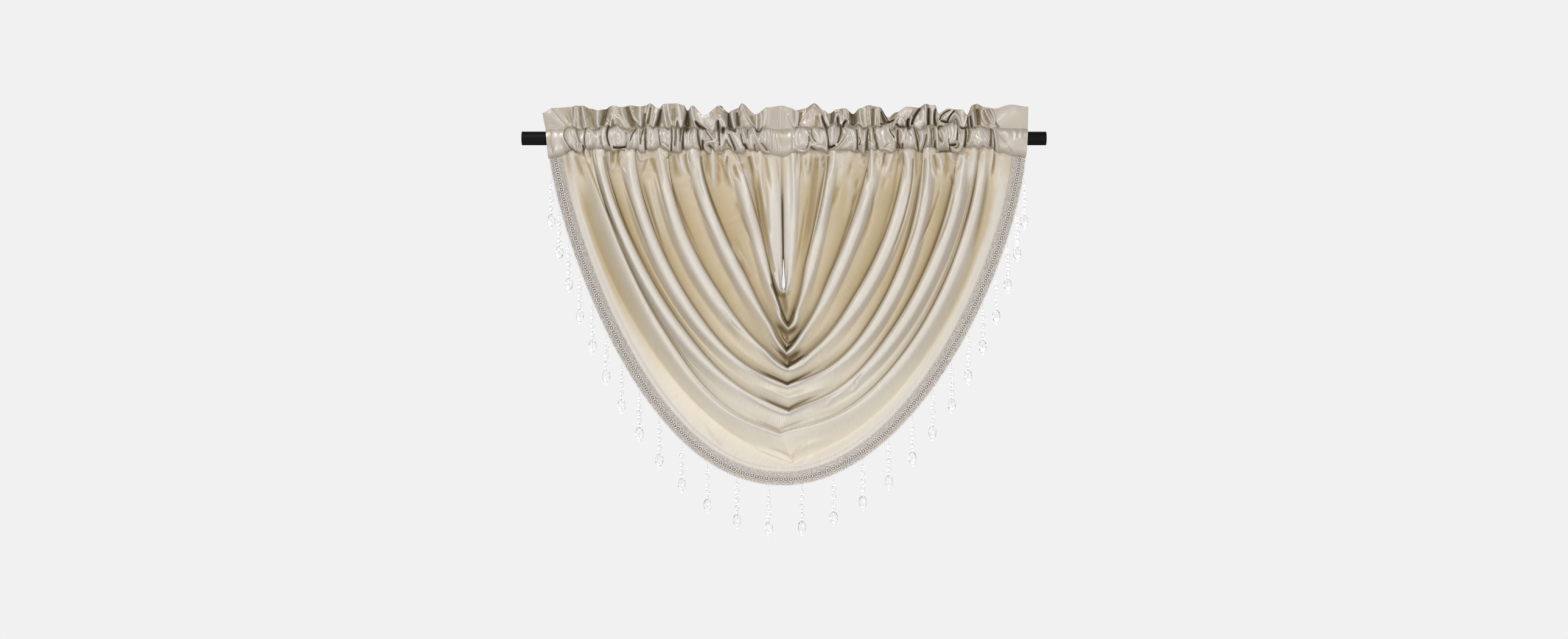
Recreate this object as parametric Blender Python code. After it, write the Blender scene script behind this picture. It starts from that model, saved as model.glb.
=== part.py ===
"""A satin swag drape with a braided, beaded hem, gathered on its rod.

X runs to the right, Y away from the viewer and Z up. The origin is on the rod's axis, at its
middle. Sizes are in millimetres until the meshes are made.
"""

import math

import bmesh
import bpy
import numpy as np

# ------------------------------------------------------------------------------ sizes

ROD_RADIUS = 12.7
ROD_HALF_LENGTH = 483.5
ROD_SIDES = 40

CLOTH = 1.7  # thickness of the panel's cloth
FIT_GAP = 0.35  # air between pieces that lie on each other
SEAM_GAP = 0.5  # air under the headings' lower edge

BRAID_WIDTH = 25.4
BRAID_THICK = 1.4
HEM_INSET = 2.0  # the cloth ends this far inside the braid's outer edge

TAPE_WIDTH = 3.0
TAPE_THICK = 2.0
STRANDS = 26
FIRST_STRAND = 38.0  # along the hem from its left end
LAST_STRAND = 40.0  # along the hem from its right end

PANEL_COLUMNS = 21  # from the middle of a fold to its end, on each side

# The cloth's main folds, from the slit outward. left_x and right_x are where a fold leaves the
# seam, and v_x and v_z are its lowest point. belly and round shape each side's sweep. high and
# wide are the roll's height and half width at the sides, v_high and v_deep are the lip's height
# and the depth of the pocket above it at the middle, and forward is how far the middle hangs
# in front of the rod's axis. The cross lines of the cloth fan out round each V: lead is the share
# of a fold's length that they gain there, and over is how soon they gain it. notch is how far
# both arms of a V rise above their smooth sweep just beside its lowest point.
FOLD_COLUMNS = (
    "name", "left_x", "right_x", "v_x", "v_z",
    "left_belly", "left_round", "right_belly", "right_round",
    "high", "wide", "v_high", "v_deep", "forward", "lead", "over", "notch",
)
FOLDS = (
    ("lip", -27, 20, 0, -295, 1.1, 1.9, 1.3, 1.7, 8, 9, 9, 0, 9, 0.0, 0.06, 0),
    ("sixth", -99, 91, 8, -351, 0.8, 1.35, 1.1, 1.4, 13, 11, 15, 7, 14, 0.13, 0.07, 0),
    ("fifth", -166, 170, 4, -396, 1.5, 1.0, 1.3, 1.3, 15, 12, 17, 8, 18, 0.17, 0.10, 3),
    ("fourth", -226, 234, 6, -425, 1.75, 1.25, 1.6, 1.45, 14, 13, 16, 7, 20, 0.19, 0.14, 5),
    ("third", -286, 266, 6, -457, 1.5, 1.7, 1.75, 1.85, 15, 12, 16, 8, 21, 0.20, 0.18, 6),
    ("second", -343, 331, 9, -506, 1.4, 1.65, 1.55, 1.75, 16, 13, 16, 9, 20, 0.20, 0.22, 8),
    ("first", -360, 370, -7, -545, 1.2, 1.9, 1.55, 1.95, 10, 11, 9, 4, 16, 0.20, 0.26, 8),
)

# The long valley outside the folds, and the hem.
VALLEY = (
    "valley", -387, 390, 13, -597, 1.45, 1.65, 1.7, 1.6, -3, 9, -3, 0, 12, 0.21, 0.30, 7,
)
HEM = ("hem", -433, 446, 0, -640, 1.25, 2.15, 1.4, 1.95, 0, 0, 0, 0, 9, 0.21, 0.34, 0)
PANEL_SWELL = 4.0  # how far the cloth beside the braid stands proud
PANEL_SWELL_IN = 36.0  # its distance from the hem
NOTCH_REACH = 0.13  # the share of a fold's half width at which a notch's arms rise most

# The cloth's cut edges at the slit: half its width at each share of its depth.
SLIT_TOP_X = -4.0
SLIT_BOTTOM_X = -0.5
SLIT_BOTTOM = -278.0
SLIT = ((0.0, 1.2), (0.45, 1.3), (0.7, 1.8), (0.85, 4.6), (0.93, 4.8), (0.98, 2.8), (1.0, 0.0))

# The seam under the rod: its height along the drape.
SEAM = (
    (-433, -37), (-400, -30), (-350, -25), (-240, -26), (-150, -24), (-60, -27), (-4, -34),
    (25, -29), (70, -24), (150, -26), (220, -24), (300, -26), (355, -21), (390, -27), (446, -36),
)

# Creases between the pocket's puffs: where each leaves the header stitching, where it meets the
# seam, and how far the puff to its right stands out.
LEFT_CREASES = (
    (-401, -402, 8), (-386, -380, 7), (-363, -362, 9), (-350, -343, 6), (-324, -320, 9),
    (-297, -290, 7), (-271, -265, 6), (-258, -253, 9), (-232, -227, 9), (-210, -206, 6),
    (-189, -185, 9), (-158, -153, 10), (-120, -118, 8), (-102, -92, 9), (-80, -70, 8),
    (-58, -44, 7), (-33, -25, 0),
)
RIGHT_CREASES = (
    (20, 17, 8), (38, 51, 9), (76, 82, 8), (103, 96, 10), (132, 135, 5), (156, 149, 7),
    (168, 174, 10), (207, 214, 9), (241, 247, 8), (264, 264, 6), (282, 284, 8), (300, 303, 8),
    (319, 318, 7), (339, 334, 10), (380, 388, 0),
)

# The ruffle's top edge: where each turn of the cloth lies along it, its height, and how far it
# leans away from the viewer.
LEFT_RUFFLE = (
    (-446, 47, 0), (-426, 56, 0), (-391, 58, 0), (-383, 60, -5), (-377, 60, 2), (-372, 60, -4),
    (-357, 55, 2), (-343, 51, -5), (-332, 54, 5), (-316, 60, -3), (-299, 57, -4), (-284, 61, 2),
    (-265, 58, -6), (-254, 61, 3), (-247, 64, -3), (-232, 55, 6), (-220, 63, -5), (-200, 64, -3),
    (-185, 61, -2), (-178, 52, 7), (-169, 60, -5), (-148, 42, 0), (-118, 60, -6), (-102, 48, 7),
    (-96, 51, -4), (-85, 56, 5), (-78, 64, -4), (-52, 44, -3), (-31, 57, 0), (-5, 60, -2),
)
RIGHT_RUFFLE = (
    (-3, 60, -2), (13, 56, -2), (22, 51, -4), (38, 55, 2), (56, 64, -6), (74, 51, -4), (82, 46, 5),
    (99, 54, 2), (112, 55, -4), (128, 46, 6), (140, 55, -5), (157, 61, 0), (176, 57, -6),
    (192, 39, 5), (207, 48, -2), (227, 58, -2), (248, 57, 6), (262, 63, -6), (272, 61, 4),
    (279, 61, -3), (285, 46, 5), (303, 55, -3), (315, 53, -5), (328, 53, 1), (338, 44, 5),
    (347, 61, -4), (356, 64, 5), (370, 57, -5), (388, 55, 2), (418, 62, -3), (451, 58, 0),
)

HEADER_STITCH = 17.0  # height of the stitching between pocket and ruffle
LEFT_HEADING = (-440.0, -5.0)
RIGHT_HEADING = (-3.0, 450.0)
LEFT_LEAN = (-6.0, 6.0)  # the outer end at the ruffle's top and at the seam
RIGHT_LEAN = (1.0, -4.0)

# The pocket's section around the rod, from the header stitching down the front and up the back.
# out_y and out_z are the outer face, in_y and in_z the inner one, and puff is the share of a
# puff's depth that this point takes.
POCKET_SECTION = (
    # out_y, out_z, in_y, in_z, puff
    (-2.6, 17.0, -2.0, 13.2, 0.0),
    (-10.4, 12.3, -9.2, 11.0, 0.7),
    (-15.6, 1.5, -13.8, 1.6, 1.0),
    (-13.2, -14.0, -11.6, -13.6, 0.9),
    (-8.0, -23.0, -6.6, -22.0, 0.45),
    (8.2, -21.0, 6.8, -20.0, -0.1),
    (16.6, 0.0, 14.9, 0.0, -0.35),
    (10.6, 12.4, 9.2, 11.1, -0.3),
    (2.6, 17.0, 2.0, 13.2, 0.0),
)
SEAM_AFTER = 5  # the seam's two points come after this many points of the section
SEAM_HALF = 0.95  # half the thickness at the seam
RUFFLE_HALF = 1.2  # half the thickness of the doubled ruffle

# One strand of beads, from its root down: depth below the root and half width.
STRAND = (
    (0.0, 1.1), (7.0, 1.2), (11.0, 3.2), (38.0, 4.2), (61.0, 3.2), (64.5, 1.4), (76.0, 7.2),
    (86.5, 1.6), (89.5, 2.6), (92.0, 1.2),
)

# Each piece's finish.
FINISH_COLUMNS = ("colour", "roughness", "metallic")
FINISHES = {
    "rod": ((0.006, 0.006, 0.007), 0.50, 0.0),
    "heading_left": ((0.50, 0.455, 0.395), 0.35, 0.0),
    "heading_right": ((0.50, 0.455, 0.395), 0.35, 0.0),
    "swag_panel": ((0.60, 0.535, 0.43), 0.40, 0.0),
    "hem_braid": ((0.50, 0.465, 0.43), 0.60, 0.0),
    "bead_fringe": ((0.85, 0.85, 0.86), 0.08, 0.0),
}
SHARP_ANGLE = 50.0  # an edge that turns more than this stays crisp


# --------------------------------------------------------------------------- helpers

def smooth(value):
    """A soft step from 0 at 0 to 1 at 1."""
    value = np.clip(value, 0.0, 1.0)
    return value * value * (3.0 - 2.0 * value)


def soft_table(rows, x, column):
    """A table's column at x, eased from row to row."""
    table = np.array(rows, float)
    place = np.interp(x, table[:, 0], np.arange(len(table)))
    first = np.clip(np.floor(place).astype(int), 0, len(table) - 2)
    share = smooth(place - first)
    return table[first, column] * (1 - share) + table[first + 1, column] * share


def as_row(row):
    """A fold's row as a dictionary of its named columns."""
    return dict(zip(FOLD_COLUMNS, row))


def heading_places(creases, ends):
    """Sections along a heading: its ends, every crease, and two on each puff."""
    first, last = creases[0][0], creases[-1][0]
    places = list(np.linspace(ends[0], first, 5 if first - ends[0] > 25 else 3)[:-1])
    for left, right in zip(creases[:-1], creases[1:]):
        step = right[0] - left[0]
        places += [left[0], left[0] + 0.28 * step, left[0] + 0.72 * step]
    return places + list(np.linspace(last, ends[1], 6 if ends[1] - last > 40 else 3))


def seam_place(x, creases, ends, lean):
    """Where the section that crosses the header stitching at x meets the seam."""
    from_x = [ends[0], *[row[0] for row in creases], ends[1]]
    to_x = [ends[0], *[row[1] for row in creases], ends[1]]
    return float(np.interp(x, from_x, to_x)) + lean[1] * end_share(x, ends)


def end_share(x, ends):
    """1 at the heading's outer end, falling to 0 over its first 40 mm."""
    outer = max(ends, key=abs)
    return max(0.0, 1.0 - abs(x - outer) / 40.0)


def seam_height(x):
    """The height of the headings' lower edge, straight between their sections."""
    places = []
    for creases, ends, lean in (
        (LEFT_CREASES, LEFT_HEADING, LEFT_LEAN),
        (RIGHT_CREASES, RIGHT_HEADING, RIGHT_LEAN),
    ):
        places += [seam_place(p, creases, ends, lean) for p in heading_places(creases, ends)]
    return np.interp(x, places, soft_table(SEAM, np.array(places), 1))


def make_mesh(name, points, faces):
    """An object with these points, in millimetres, and its faces turned outward."""
    mesh = bpy.data.meshes.new(name)
    mesh.from_pydata([tuple(p * 0.001) for p in np.asarray(points, float)], [], faces)
    mesh.update()
    obj = bpy.data.objects.new(name, mesh)
    bpy.context.scene.collection.objects.link(obj)
    return obj


def finish(obj):
    """Gives a piece its own material and its soft shading."""
    values = dict(zip(FINISH_COLUMNS, FINISHES[obj.name]))
    material = bpy.data.materials.new(obj.name + "_finish")
    material.use_nodes = True
    shader = material.node_tree.nodes["Principled BSDF"]
    shader.inputs["Base Color"].default_value = (*values["colour"], 1.0)
    shader.inputs["Roughness"].default_value = values["roughness"]
    shader.inputs["Metallic"].default_value = values["metallic"]
    obj.data.materials.append(material)
    obj.data.shade_smooth()
    obj.data.set_sharp_from_angle(angle=math.radians(SHARP_ANGLE))


def clear_scene():
    for obj in list(bpy.data.objects):
        bpy.data.objects.remove(obj, do_unlink=True)


# ------------------------------------------------------------------- curves of the folds

def sweep(top, bottom, belly, round_, notch, count=400):
    """One side of a fold from its lowest point to the seam, evenly spaced along its length."""
    share = np.sin(np.linspace(0.0, 1.0, count) * math.pi / 2)  # 0 at the seam, 1 at the bottom
    width = np.maximum(1.0 - share ** belly, 0.0) ** (1.0 / round_)
    x = bottom[0] + (top[0] - bottom[0]) * width
    rise = width / NOTCH_REACH
    z = top[1] + (bottom[1] - top[1]) * share + notch * rise * np.exp(1.0 - rise)
    return np.stack([x, z], 1)[::-1]


def along(line, stations):
    """Points at these shares of a line's length."""
    steps = np.hypot(*np.diff(line, axis=0).T)
    length = np.concatenate([[0.0], np.cumsum(steps)])
    share = length / length[-1]
    return np.stack([np.interp(stations, share, line[:, k]) for k in (0, 1)], 1)


def whole_line(row):
    """A fold's two sides as one dense line, from its left end to its right end."""
    bottom = (row["v_x"], row["v_z"])
    sides = []
    for side in ("left", "right"):
        top_x = row[side + "_x"]
        top = (top_x, float(seam_height(top_x)) - SEAM_GAP)
        belly, round_ = row[side + "_belly"], row[side + "_round"]
        sides.append(sweep(top, bottom, belly, round_, row["notch"]))
    return sides


def fanned(row, stations):
    """Shares of a fold's length, measured from its lowest point, for these stations."""
    reach = np.abs(stations)
    return reach + row["lead"] * (1.0 - np.exp(-reach / row["over"])) * (1.0 - reach)


def fold_line(row, stations):
    """Points of a fold: stations run from -1 at the left end to 1 at the right end."""
    left, right = whole_line(row)
    shares = fanned(row, stations)
    points = np.empty((len(stations), 2))
    for line, chosen in ((left, stations < 0), (right, stations >= 0)):
        points[chosen] = along(line, shares[chosen])
    return points


def slit_line(stations):
    """The cut edge: down the left side of the slit and up the right side."""
    top = float(seam_height(SLIT_TOP_X)) - SEAM_GAP
    depth = 1.0 - np.abs(stations) ** 1.15
    table = np.array(SLIT)
    half = np.interp(depth, table[:, 0], table[:, 1])
    centre = SLIT_TOP_X + (SLIT_BOTTOM_X - SLIT_TOP_X) * depth
    z = top + (SLIT_BOTTOM - top) * depth
    return np.stack([centre + np.sign(stations) * half, z], 1)


def shifted(line, distance):
    """A line moved towards the inside of its curve, by its own normals."""
    ahead = np.gradient(line, axis=0)
    ahead /= np.hypot(*ahead.T)[:, None]
    return line + distance * np.stack([-ahead[:, 1], ahead[:, 0]], 1)


def hem_line(stations, inset):
    """The hem's line, moved inward by inset."""
    left, right = whole_line(as_row(HEM))
    whole = np.concatenate([left[::-1], right[1:]])
    moved = shifted(whole, inset)
    steps = np.concatenate([[0.0], np.cumsum(np.hypot(*np.diff(whole, axis=0).T))])
    middle = steps[len(left) - 1]
    shares = fanned(as_row(HEM), stations)
    wanted = np.where(
        stations < 0, middle * (1 - shares), middle + (steps[-1] - middle) * shares
    )
    return np.stack([np.interp(wanted, steps, moved[:, k]) for k in (0, 1)], 1)


# --------------------------------------------------------------------- gathers at the rod

def puff(x, creases, level):
    """How far the pocket stands out at x: level 0 is the header stitching, 1 the seam."""
    table = np.array(creases, float)
    places = table[:, 0] * (1 - level) + table[:, 1] * level
    depth = np.zeros_like(x)
    for left, right, high in zip(places[:-1], places[1:], table[:-1, 2]):
        share = np.clip((x - left) / (right - left), 0.0, 1.0)
        depth = np.maximum(depth, high * np.sin(math.pi * share) ** 0.6)
    return depth


def seam_depth(x):
    """How far the cloth at the seam lies from the rod's axis plane: less is nearer the viewer."""
    x = np.asarray(x, float)
    both = np.maximum(puff(x, LEFT_CREASES, 1.0), puff(x, RIGHT_CREASES, 1.0))
    return -2.0 - 0.5 * both


# ------------------------------------------------------------------------------ the panel

def panel_stations():
    """Stations along the folds, closer together at the middle and at the seam."""
    even = np.linspace(0.0, 1.0, PANEL_COLUMNS + 1)
    half = 0.62 * even + 0.38 * (0.5 - 0.5 * np.cos(math.pi * even))
    return np.concatenate([-half[:0:-1], half])


def between(first, second, first_row, second_row, stations, distance):
    """The rows of the cloth from one fold's crest to the next: (line, height) each."""
    reach = np.abs(stations)
    middle = 1.0 - smooth(reach / 0.30)
    pocket = 1.0 - smooth(reach / 0.22)
    first_high = first_row["high"] + (first_row["v_high"] - first_row["high"]) * middle
    second_high = second_row["high"] + (second_row["v_high"] - second_row["high"]) * middle
    wide = np.minimum(first_row["wide"] / distance, 0.36)
    next_wide = np.minimum(second_row["wide"] / distance, 0.36)
    deep = second_row["v_deep"] * pocket
    places = (
        (0.0 * wide, first_high),
        (0.6 * wide * (1 - middle) + 0.24 * middle, (0.80 - 0.08 * middle) * first_high),
        (wide * (1 - middle) + 0.55 * middle, 0.28 * first_high * middle),
        (0.5 * (1 - middle) + 0.78 * middle, 2.0 * (1 - middle) - 0.4 * deep),
        (1 - next_wide * (1 - middle) - 0.14 * middle, -deep),
        (1 - 0.6 * next_wide * (1 - middle) - 0.06 * middle,
         (0.80 - 0.2 * middle) * second_high),
    )
    rows = []
    for share, height in places:
        line = first + (second - first) * share[:, None]
        rows.append((line, height + 0.0 * share))
    return rows


def panel_rows(stations):
    """Every row of the cloth, from the slit to the hem: (line, height, forward)."""
    folds = [as_row(row) for row in FOLDS]
    lines = [fold_line(row, stations) for row in folds]
    valley = as_row(VALLEY)
    slit = slit_line(stations)
    rows = [(slit, 1.0 + 0.0 * stations, 7.0)]
    for share, height in ((0.45, 5.0), (0.8, 7.5)):
        rows.append((slit + (lines[0] - slit) * share, height + 0.0 * stations, 8.0))
    for k in range(len(folds) - 1):
        gap = np.maximum(np.hypot(*(lines[k + 1] - lines[k]).T), 1.0)
        part = between(lines[k], lines[k + 1], folds[k], folds[k + 1], stations, gap)
        for n, (line, height) in enumerate(part):
            forward = folds[k]["forward"]
            forward += (folds[k + 1]["forward"] - folds[k]["forward"]) * n / len(part)
            rows.append((line, height, forward))
    last = folds[-1]
    crest = lines[-1]
    low = fold_line(valley, stations)
    swell = hem_line(stations, PANEL_SWELL_IN)
    for share, height, forward in (
        (0.0, last["high"], last["forward"]),
        (0.4, 0.6 * last["high"], 15.0),
        (0.75, 0.0, 13.0),
    ):
        rows.append((crest + (low - crest) * share, height + 0.0 * stations, forward))
    rows.append((low, valley["high"] + 0.0 * stations, valley["forward"]))
    rows.append((0.45 * low + 0.55 * swell, 2.0 + 0.0 * stations, 11.0))
    rows.append((swell, PANEL_SWELL + 0.0 * stations, 10.5))
    for inset in (BRAID_WIDTH + 1.0, 0.5 * BRAID_WIDTH + 1.0, HEM_INSET):
        rows.append((hem_line(stations, inset), 1.0 + 0.0 * stations, 9.5))
    return rows


def panel_surface(stations):
    """The cloth's front face as a grid of points, rows by stations."""
    grid = []
    for line, height, forward in panel_rows(stations):
        x = line[:, 0]
        z = line[:, 1].copy()
        ends = np.array([line[0, 0], line[-1, 0]])
        tops = seam_height(ends) - SEAM_GAP
        z[0], z[-1] = tops
        top = np.where(stations < 0, tops[0], tops[1])
        end = np.where(stations < 0, seam_depth(ends)[0], seam_depth(ends)[1])
        end = end - 0.5 * CLOTH
        hung = -3.0 - (forward - 3.0) * (1.0 - np.abs(stations) ** 2.0)
        below = smooth((top - z) / 55.0)
        y = end * (1 - below) + (hung - height) * below
        grid.append(np.stack([x, y, z], 1))
    return np.array(grid)


def grid_normals(grid):
    """Unit normals of a grid of points, towards the viewer."""
    across = np.gradient(grid, axis=0)
    along_ = np.gradient(grid, axis=1)
    normal = np.cross(along_, across)
    normal *= -np.sign(normal[..., 1].mean())
    normal /= np.maximum(np.linalg.norm(normal, axis=2), 1e-9)[..., None]
    return normal


def sheet(name, front, back):
    """A closed solid between two grids of the same size."""
    rows, columns = front.shape[:2]
    count = rows * columns
    points = np.concatenate([front.reshape(-1, 3), back.reshape(-1, 3)])

    def at(i, j, side):
        return side * count + i * columns + j

    faces = []
    for i in range(rows - 1):
        for j in range(columns - 1):
            for side in (0, 1):
                a, b = at(i, j, side), at(i, j + 1, side)
                c, d = at(i + 1, j + 1, side), at(i + 1, j, side)
                both = ((a, b, c), (a, c, d)) if j < columns // 2 else ((a, b, d), (b, c, d))
                faces += both
    for i in range(rows - 1):
        for j, turn in ((0, False), (columns - 1, True)):
            face = (at(i, j, 0), at(i + 1, j, 0), at(i + 1, j, 1), at(i, j, 1))
            faces.append(face[::-1] if turn else face)
    for j in range(columns - 1):
        for i, turn in ((0, True), (rows - 1, False)):
            face = (at(i, j, 0), at(i, j + 1, 0), at(i, j + 1, 1), at(i, j, 1))
            faces.append(face[::-1] if turn else face)
    return make_mesh(name, points, faces)


def turned_out(obj):
    """Turns every face of a closed body outward."""
    mesh = bmesh.new()
    mesh.from_mesh(obj.data)
    bmesh.ops.recalc_face_normals(mesh, faces=mesh.faces)
    mesh.to_mesh(obj.data)
    mesh.free()
    return obj


def build_panel():
    """The face panel, and the front grid of its last rows for the braid."""
    stations = panel_stations()
    front = panel_surface(stations)
    normal = grid_normals(front)
    # Where the folds are steep the cloth's back keeps more to the rear, clear of its own front.
    rear = normal.copy()
    rear[..., 1] -= 0.35 + 0.9 * (1.0 - smooth(np.abs(stations) / 0.10))
    rear[0] = (0.0, -1.0, 0.0)
    rear /= np.linalg.norm(rear, axis=2)[..., None]
    back = front - rear * CLOTH
    # The top edge stays level, so that the seam above it keeps its gap.
    for j in (0, -1):
        back[:, j] = front[:, j] + np.array([0.0, CLOTH, 0.0])
    return turned_out(sheet("swag_panel", front, back))


# ------------------------------------------------------------------------- braid and fringe

def hem_strip(stations, insets, front_gap, thickness):
    """Front and back grids of a strip that lies along the hem."""
    base = panel_rows(stations)[-1]
    _, height, forward = base
    hung = -3.0 - (forward - 3.0) * (1.0 - np.abs(stations) ** 2.0) - height
    fronts = []
    for inset in insets:
        line = hem_line(stations, inset)
        top = float(seam_height(line[0, 0])) - SEAM_GAP, float(seam_height(line[-1, 0])) - SEAM_GAP
        level = np.where(stations < 0, top[0], top[1])
        z = np.minimum(line[:, 1], level)
        below = smooth((level - z) / 55.0)
        end = -2.0 - 0.5 * CLOTH
        y = end * (1 - below) + hung * below - front_gap
        fronts.append(np.stack([line[:, 0], y - thickness, z], 1))
    front = np.array(fronts)
    back = front + np.array([0.0, thickness, 0.0])
    return front, back


def build_braid():
    stations = panel_stations()
    insets = (BRAID_WIDTH, 0.5 * BRAID_WIDTH, 0.0)
    front, back = hem_strip(stations, insets, FIT_GAP, BRAID_THICK)
    return turned_out(sheet("hem_braid", front, back))


def strand_mesh(root, points, faces):
    """Adds one four-sided strand that hangs from root."""
    start = len(points)
    for depth, half in STRAND:
        for corner in range(4):
            turn = math.pi / 2 * corner
            points.append((
                root[0] + half * math.cos(turn),
                root[1] + half * math.sin(turn),
                root[2] - depth,
            ))
    rings = len(STRAND)
    for ring in range(rings - 1):
        for corner in range(4):
            a = start + ring * 4 + corner
            b = start + ring * 4 + (corner + 1) % 4
            faces.append((a, b, b + 4, a + 4))
    faces.append(tuple(start + k for k in range(4)))
    faces.append(tuple(start + (rings - 1) * 4 + k for k in (3, 2, 1, 0)))


def strand_roots():
    """Where the strands leave the tape, evenly along the hem."""
    dense = np.linspace(-1.0, 1.0, 1601)
    line = hem_line(dense, -(FIT_GAP + 0.5 * TAPE_WIDTH))
    length = np.concatenate([[0.0], np.cumsum(np.hypot(*np.diff(line, axis=0).T))])
    wanted = np.linspace(FIRST_STRAND, length[-1] - LAST_STRAND, STRANDS)
    places = np.interp(wanted, length, dense)
    front, back = hem_strip(places, (-(FIT_GAP + 0.5 * TAPE_WIDTH),), FIT_GAP, BRAID_THICK)
    return 0.5 * (front[0] + back[0])


def build_fringe():
    """The beads' tape along the hem, with every strand fused to it."""
    stations = panel_stations()
    insets = (-FIT_GAP, -(FIT_GAP + TAPE_WIDTH))
    front, back = hem_strip(stations, insets, 0.05, TAPE_THICK)
    tape = turned_out(sheet("bead_fringe", front, back))
    points, faces = [], []
    for root in strand_roots():
        strand_mesh(root, points, faces)
    strands = turned_out(make_mesh("strands_cutter", points, faces))
    union = tape.modifiers.new("strands", "BOOLEAN")
    union.operation = "UNION"
    union.solver = "EXACT"
    union.object = strands
    strands.hide_render = True
    strands.display_type = "WIRE"
    return tape


# ------------------------------------------------------------------------------ headings

def heading_section(x, creases, ruffle, ends, lean):
    """The outer and inner rings of one section, as lists of points."""
    seam_x = seam_place(x, creases, ends, lean)
    top_x = x + lean[0] * end_share(x, ends)
    bulge = float(puff(np.array([x]), creases, 0.0)[0])
    seam_z = float(seam_height(seam_x))
    seam_y = float(seam_depth(np.array([seam_x]))[0])
    outer, inner = [], []

    def spot(y, z):
        share = np.clip((HEADER_STITCH - z) / (HEADER_STITCH - seam_z), 0.0, 1.0)
        return (x + (seam_x - x) * share, y, z)

    for n, (out_y, out_z, in_y, in_z, share) in enumerate(POCKET_SECTION):
        if n == SEAM_AFTER:
            outer.append(spot(seam_y - SEAM_HALF, seam_z))
            outer.append(spot(seam_y + SEAM_HALF, seam_z))
            inner.append(spot(seam_y - 0.35, seam_z + 3.4))
            inner.append(spot(seam_y + 0.35, seam_z + 3.4))
        outer.append(spot(out_y - share * bulge, out_z))
        inner.append(spot(in_y - share * bulge, in_z))
    top_z = float(soft_table(ruffle, np.array([top_x]), 1)[0])
    top_y = float(soft_table(ruffle, np.array([top_x]), 2)[0])
    mid_z = 0.5 * (HEADER_STITCH + top_z)
    mid_x = 0.5 * (x + top_x)
    outer.append((mid_x, 0.62 * top_y + RUFFLE_HALF, mid_z))
    outer.append((top_x, top_y + RUFFLE_HALF, top_z))
    outer.append((top_x, top_y - RUFFLE_HALF, top_z))
    outer.append((mid_x, 0.62 * top_y - RUFFLE_HALF, mid_z))
    return outer, inner


def build_heading(name, creases, ruffle, ends, lean):
    """A gathered pocket that runs round the rod, and its ruffle above."""
    sections = [
        heading_section(x, creases, ruffle, ends, lean)
        for x in heading_places(creases, ends)
    ]
    around = len(sections[0][0])
    inside = len(sections[0][1])
    each = around + inside
    points = [p for outer, inner in sections for p in outer + inner]
    faces = []
    for s in range(len(sections) - 1):
        for k in range(around):
            a, b = s * each + k, s * each + (k + 1) % around
            faces += [(a, b, b + each), (a, b + each, a + each)]
        for k in range(inside):
            a, b = s * each + around + k, s * each + around + (k + 1) % inside
            faces += [(a, b, b + each), (a, b + each, a + each)]
    for s, turn in ((0, True), (len(sections) - 1, False)):
        base = s * each
        ring = []
        for k in range(inside):
            nxt = (k + 1) % inside
            ring.append((base + k, base + nxt, base + around + nxt, base + around + k))
        top = inside
        ring.append((base + inside - 1, base + top, base + top + 3, base))
        ring.append((base + top, base + top + 1, base + top + 2, base + top + 3))
        faces += [face[::-1] if turn else face for face in ring]
    return turned_out(make_mesh(name, points, faces))


# ----------------------------------------------------------------------------------- rod

def build_rod():
    points, faces = [], []
    for end in (-ROD_HALF_LENGTH, ROD_HALF_LENGTH):
        for side in range(ROD_SIDES):
            turn = 2 * math.pi * side / ROD_SIDES
            points.append((end, ROD_RADIUS * math.cos(turn), ROD_RADIUS * math.sin(turn)))
    for side in range(ROD_SIDES):
        nxt = (side + 1) % ROD_SIDES
        faces.append((side, nxt, nxt + ROD_SIDES, side + ROD_SIDES))
    faces.append(tuple(range(ROD_SIDES))[::-1])
    faces.append(tuple(range(ROD_SIDES, 2 * ROD_SIDES)))
    return turned_out(make_mesh("rod", points, faces))


clear_scene()
for piece in (
    build_rod(),
    build_heading("heading_left", LEFT_CREASES, LEFT_RUFFLE, LEFT_HEADING, LEFT_LEAN),
    build_heading("heading_right", RIGHT_CREASES, RIGHT_RUFFLE, RIGHT_HEADING, RIGHT_LEAN),
    build_panel(),
    build_braid(),
    build_fringe(),
):
    finish(piece)
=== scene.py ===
"""The looks of the satin swag drape: gathered heading, folded cloth, braid and glass beads.

X runs to the right, Y away from the viewer and Z up, with the origin on the rod's axis at its
middle. Shapes are worked out in millimetres and written in metres.
"""

import math

import bpy
import numpy as np
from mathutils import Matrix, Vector


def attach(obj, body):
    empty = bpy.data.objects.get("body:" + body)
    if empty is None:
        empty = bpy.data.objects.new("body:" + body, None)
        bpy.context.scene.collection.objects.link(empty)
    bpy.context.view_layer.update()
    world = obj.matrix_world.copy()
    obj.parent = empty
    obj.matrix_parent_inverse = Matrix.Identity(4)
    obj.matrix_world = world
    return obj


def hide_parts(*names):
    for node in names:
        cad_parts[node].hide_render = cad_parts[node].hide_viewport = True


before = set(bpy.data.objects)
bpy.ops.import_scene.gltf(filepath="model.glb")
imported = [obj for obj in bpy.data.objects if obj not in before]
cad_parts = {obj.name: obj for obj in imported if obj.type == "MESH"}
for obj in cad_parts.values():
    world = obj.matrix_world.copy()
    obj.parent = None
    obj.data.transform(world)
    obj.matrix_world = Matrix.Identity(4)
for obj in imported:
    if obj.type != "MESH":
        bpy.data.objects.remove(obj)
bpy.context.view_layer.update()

MM = 0.001

# ------------------------------------------------------------------ sizes shared with the solids

FIT_GAP = 0.35  # air between pieces that lie on each other
SEAM_GAP = 0.5  # air under the headings' lower edge
BRAID_WIDTH = 25.4
BRAID_THICK = 1.4
HEM_INSET = 2.0  # the cloth ends this far inside the braid's outer edge
TAPE_WIDTH = 3.0
STRANDS = 26
FIRST_STRAND = 38.0  # along the hem from its left end
LAST_STRAND = 40.0  # along the hem from its right end

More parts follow.
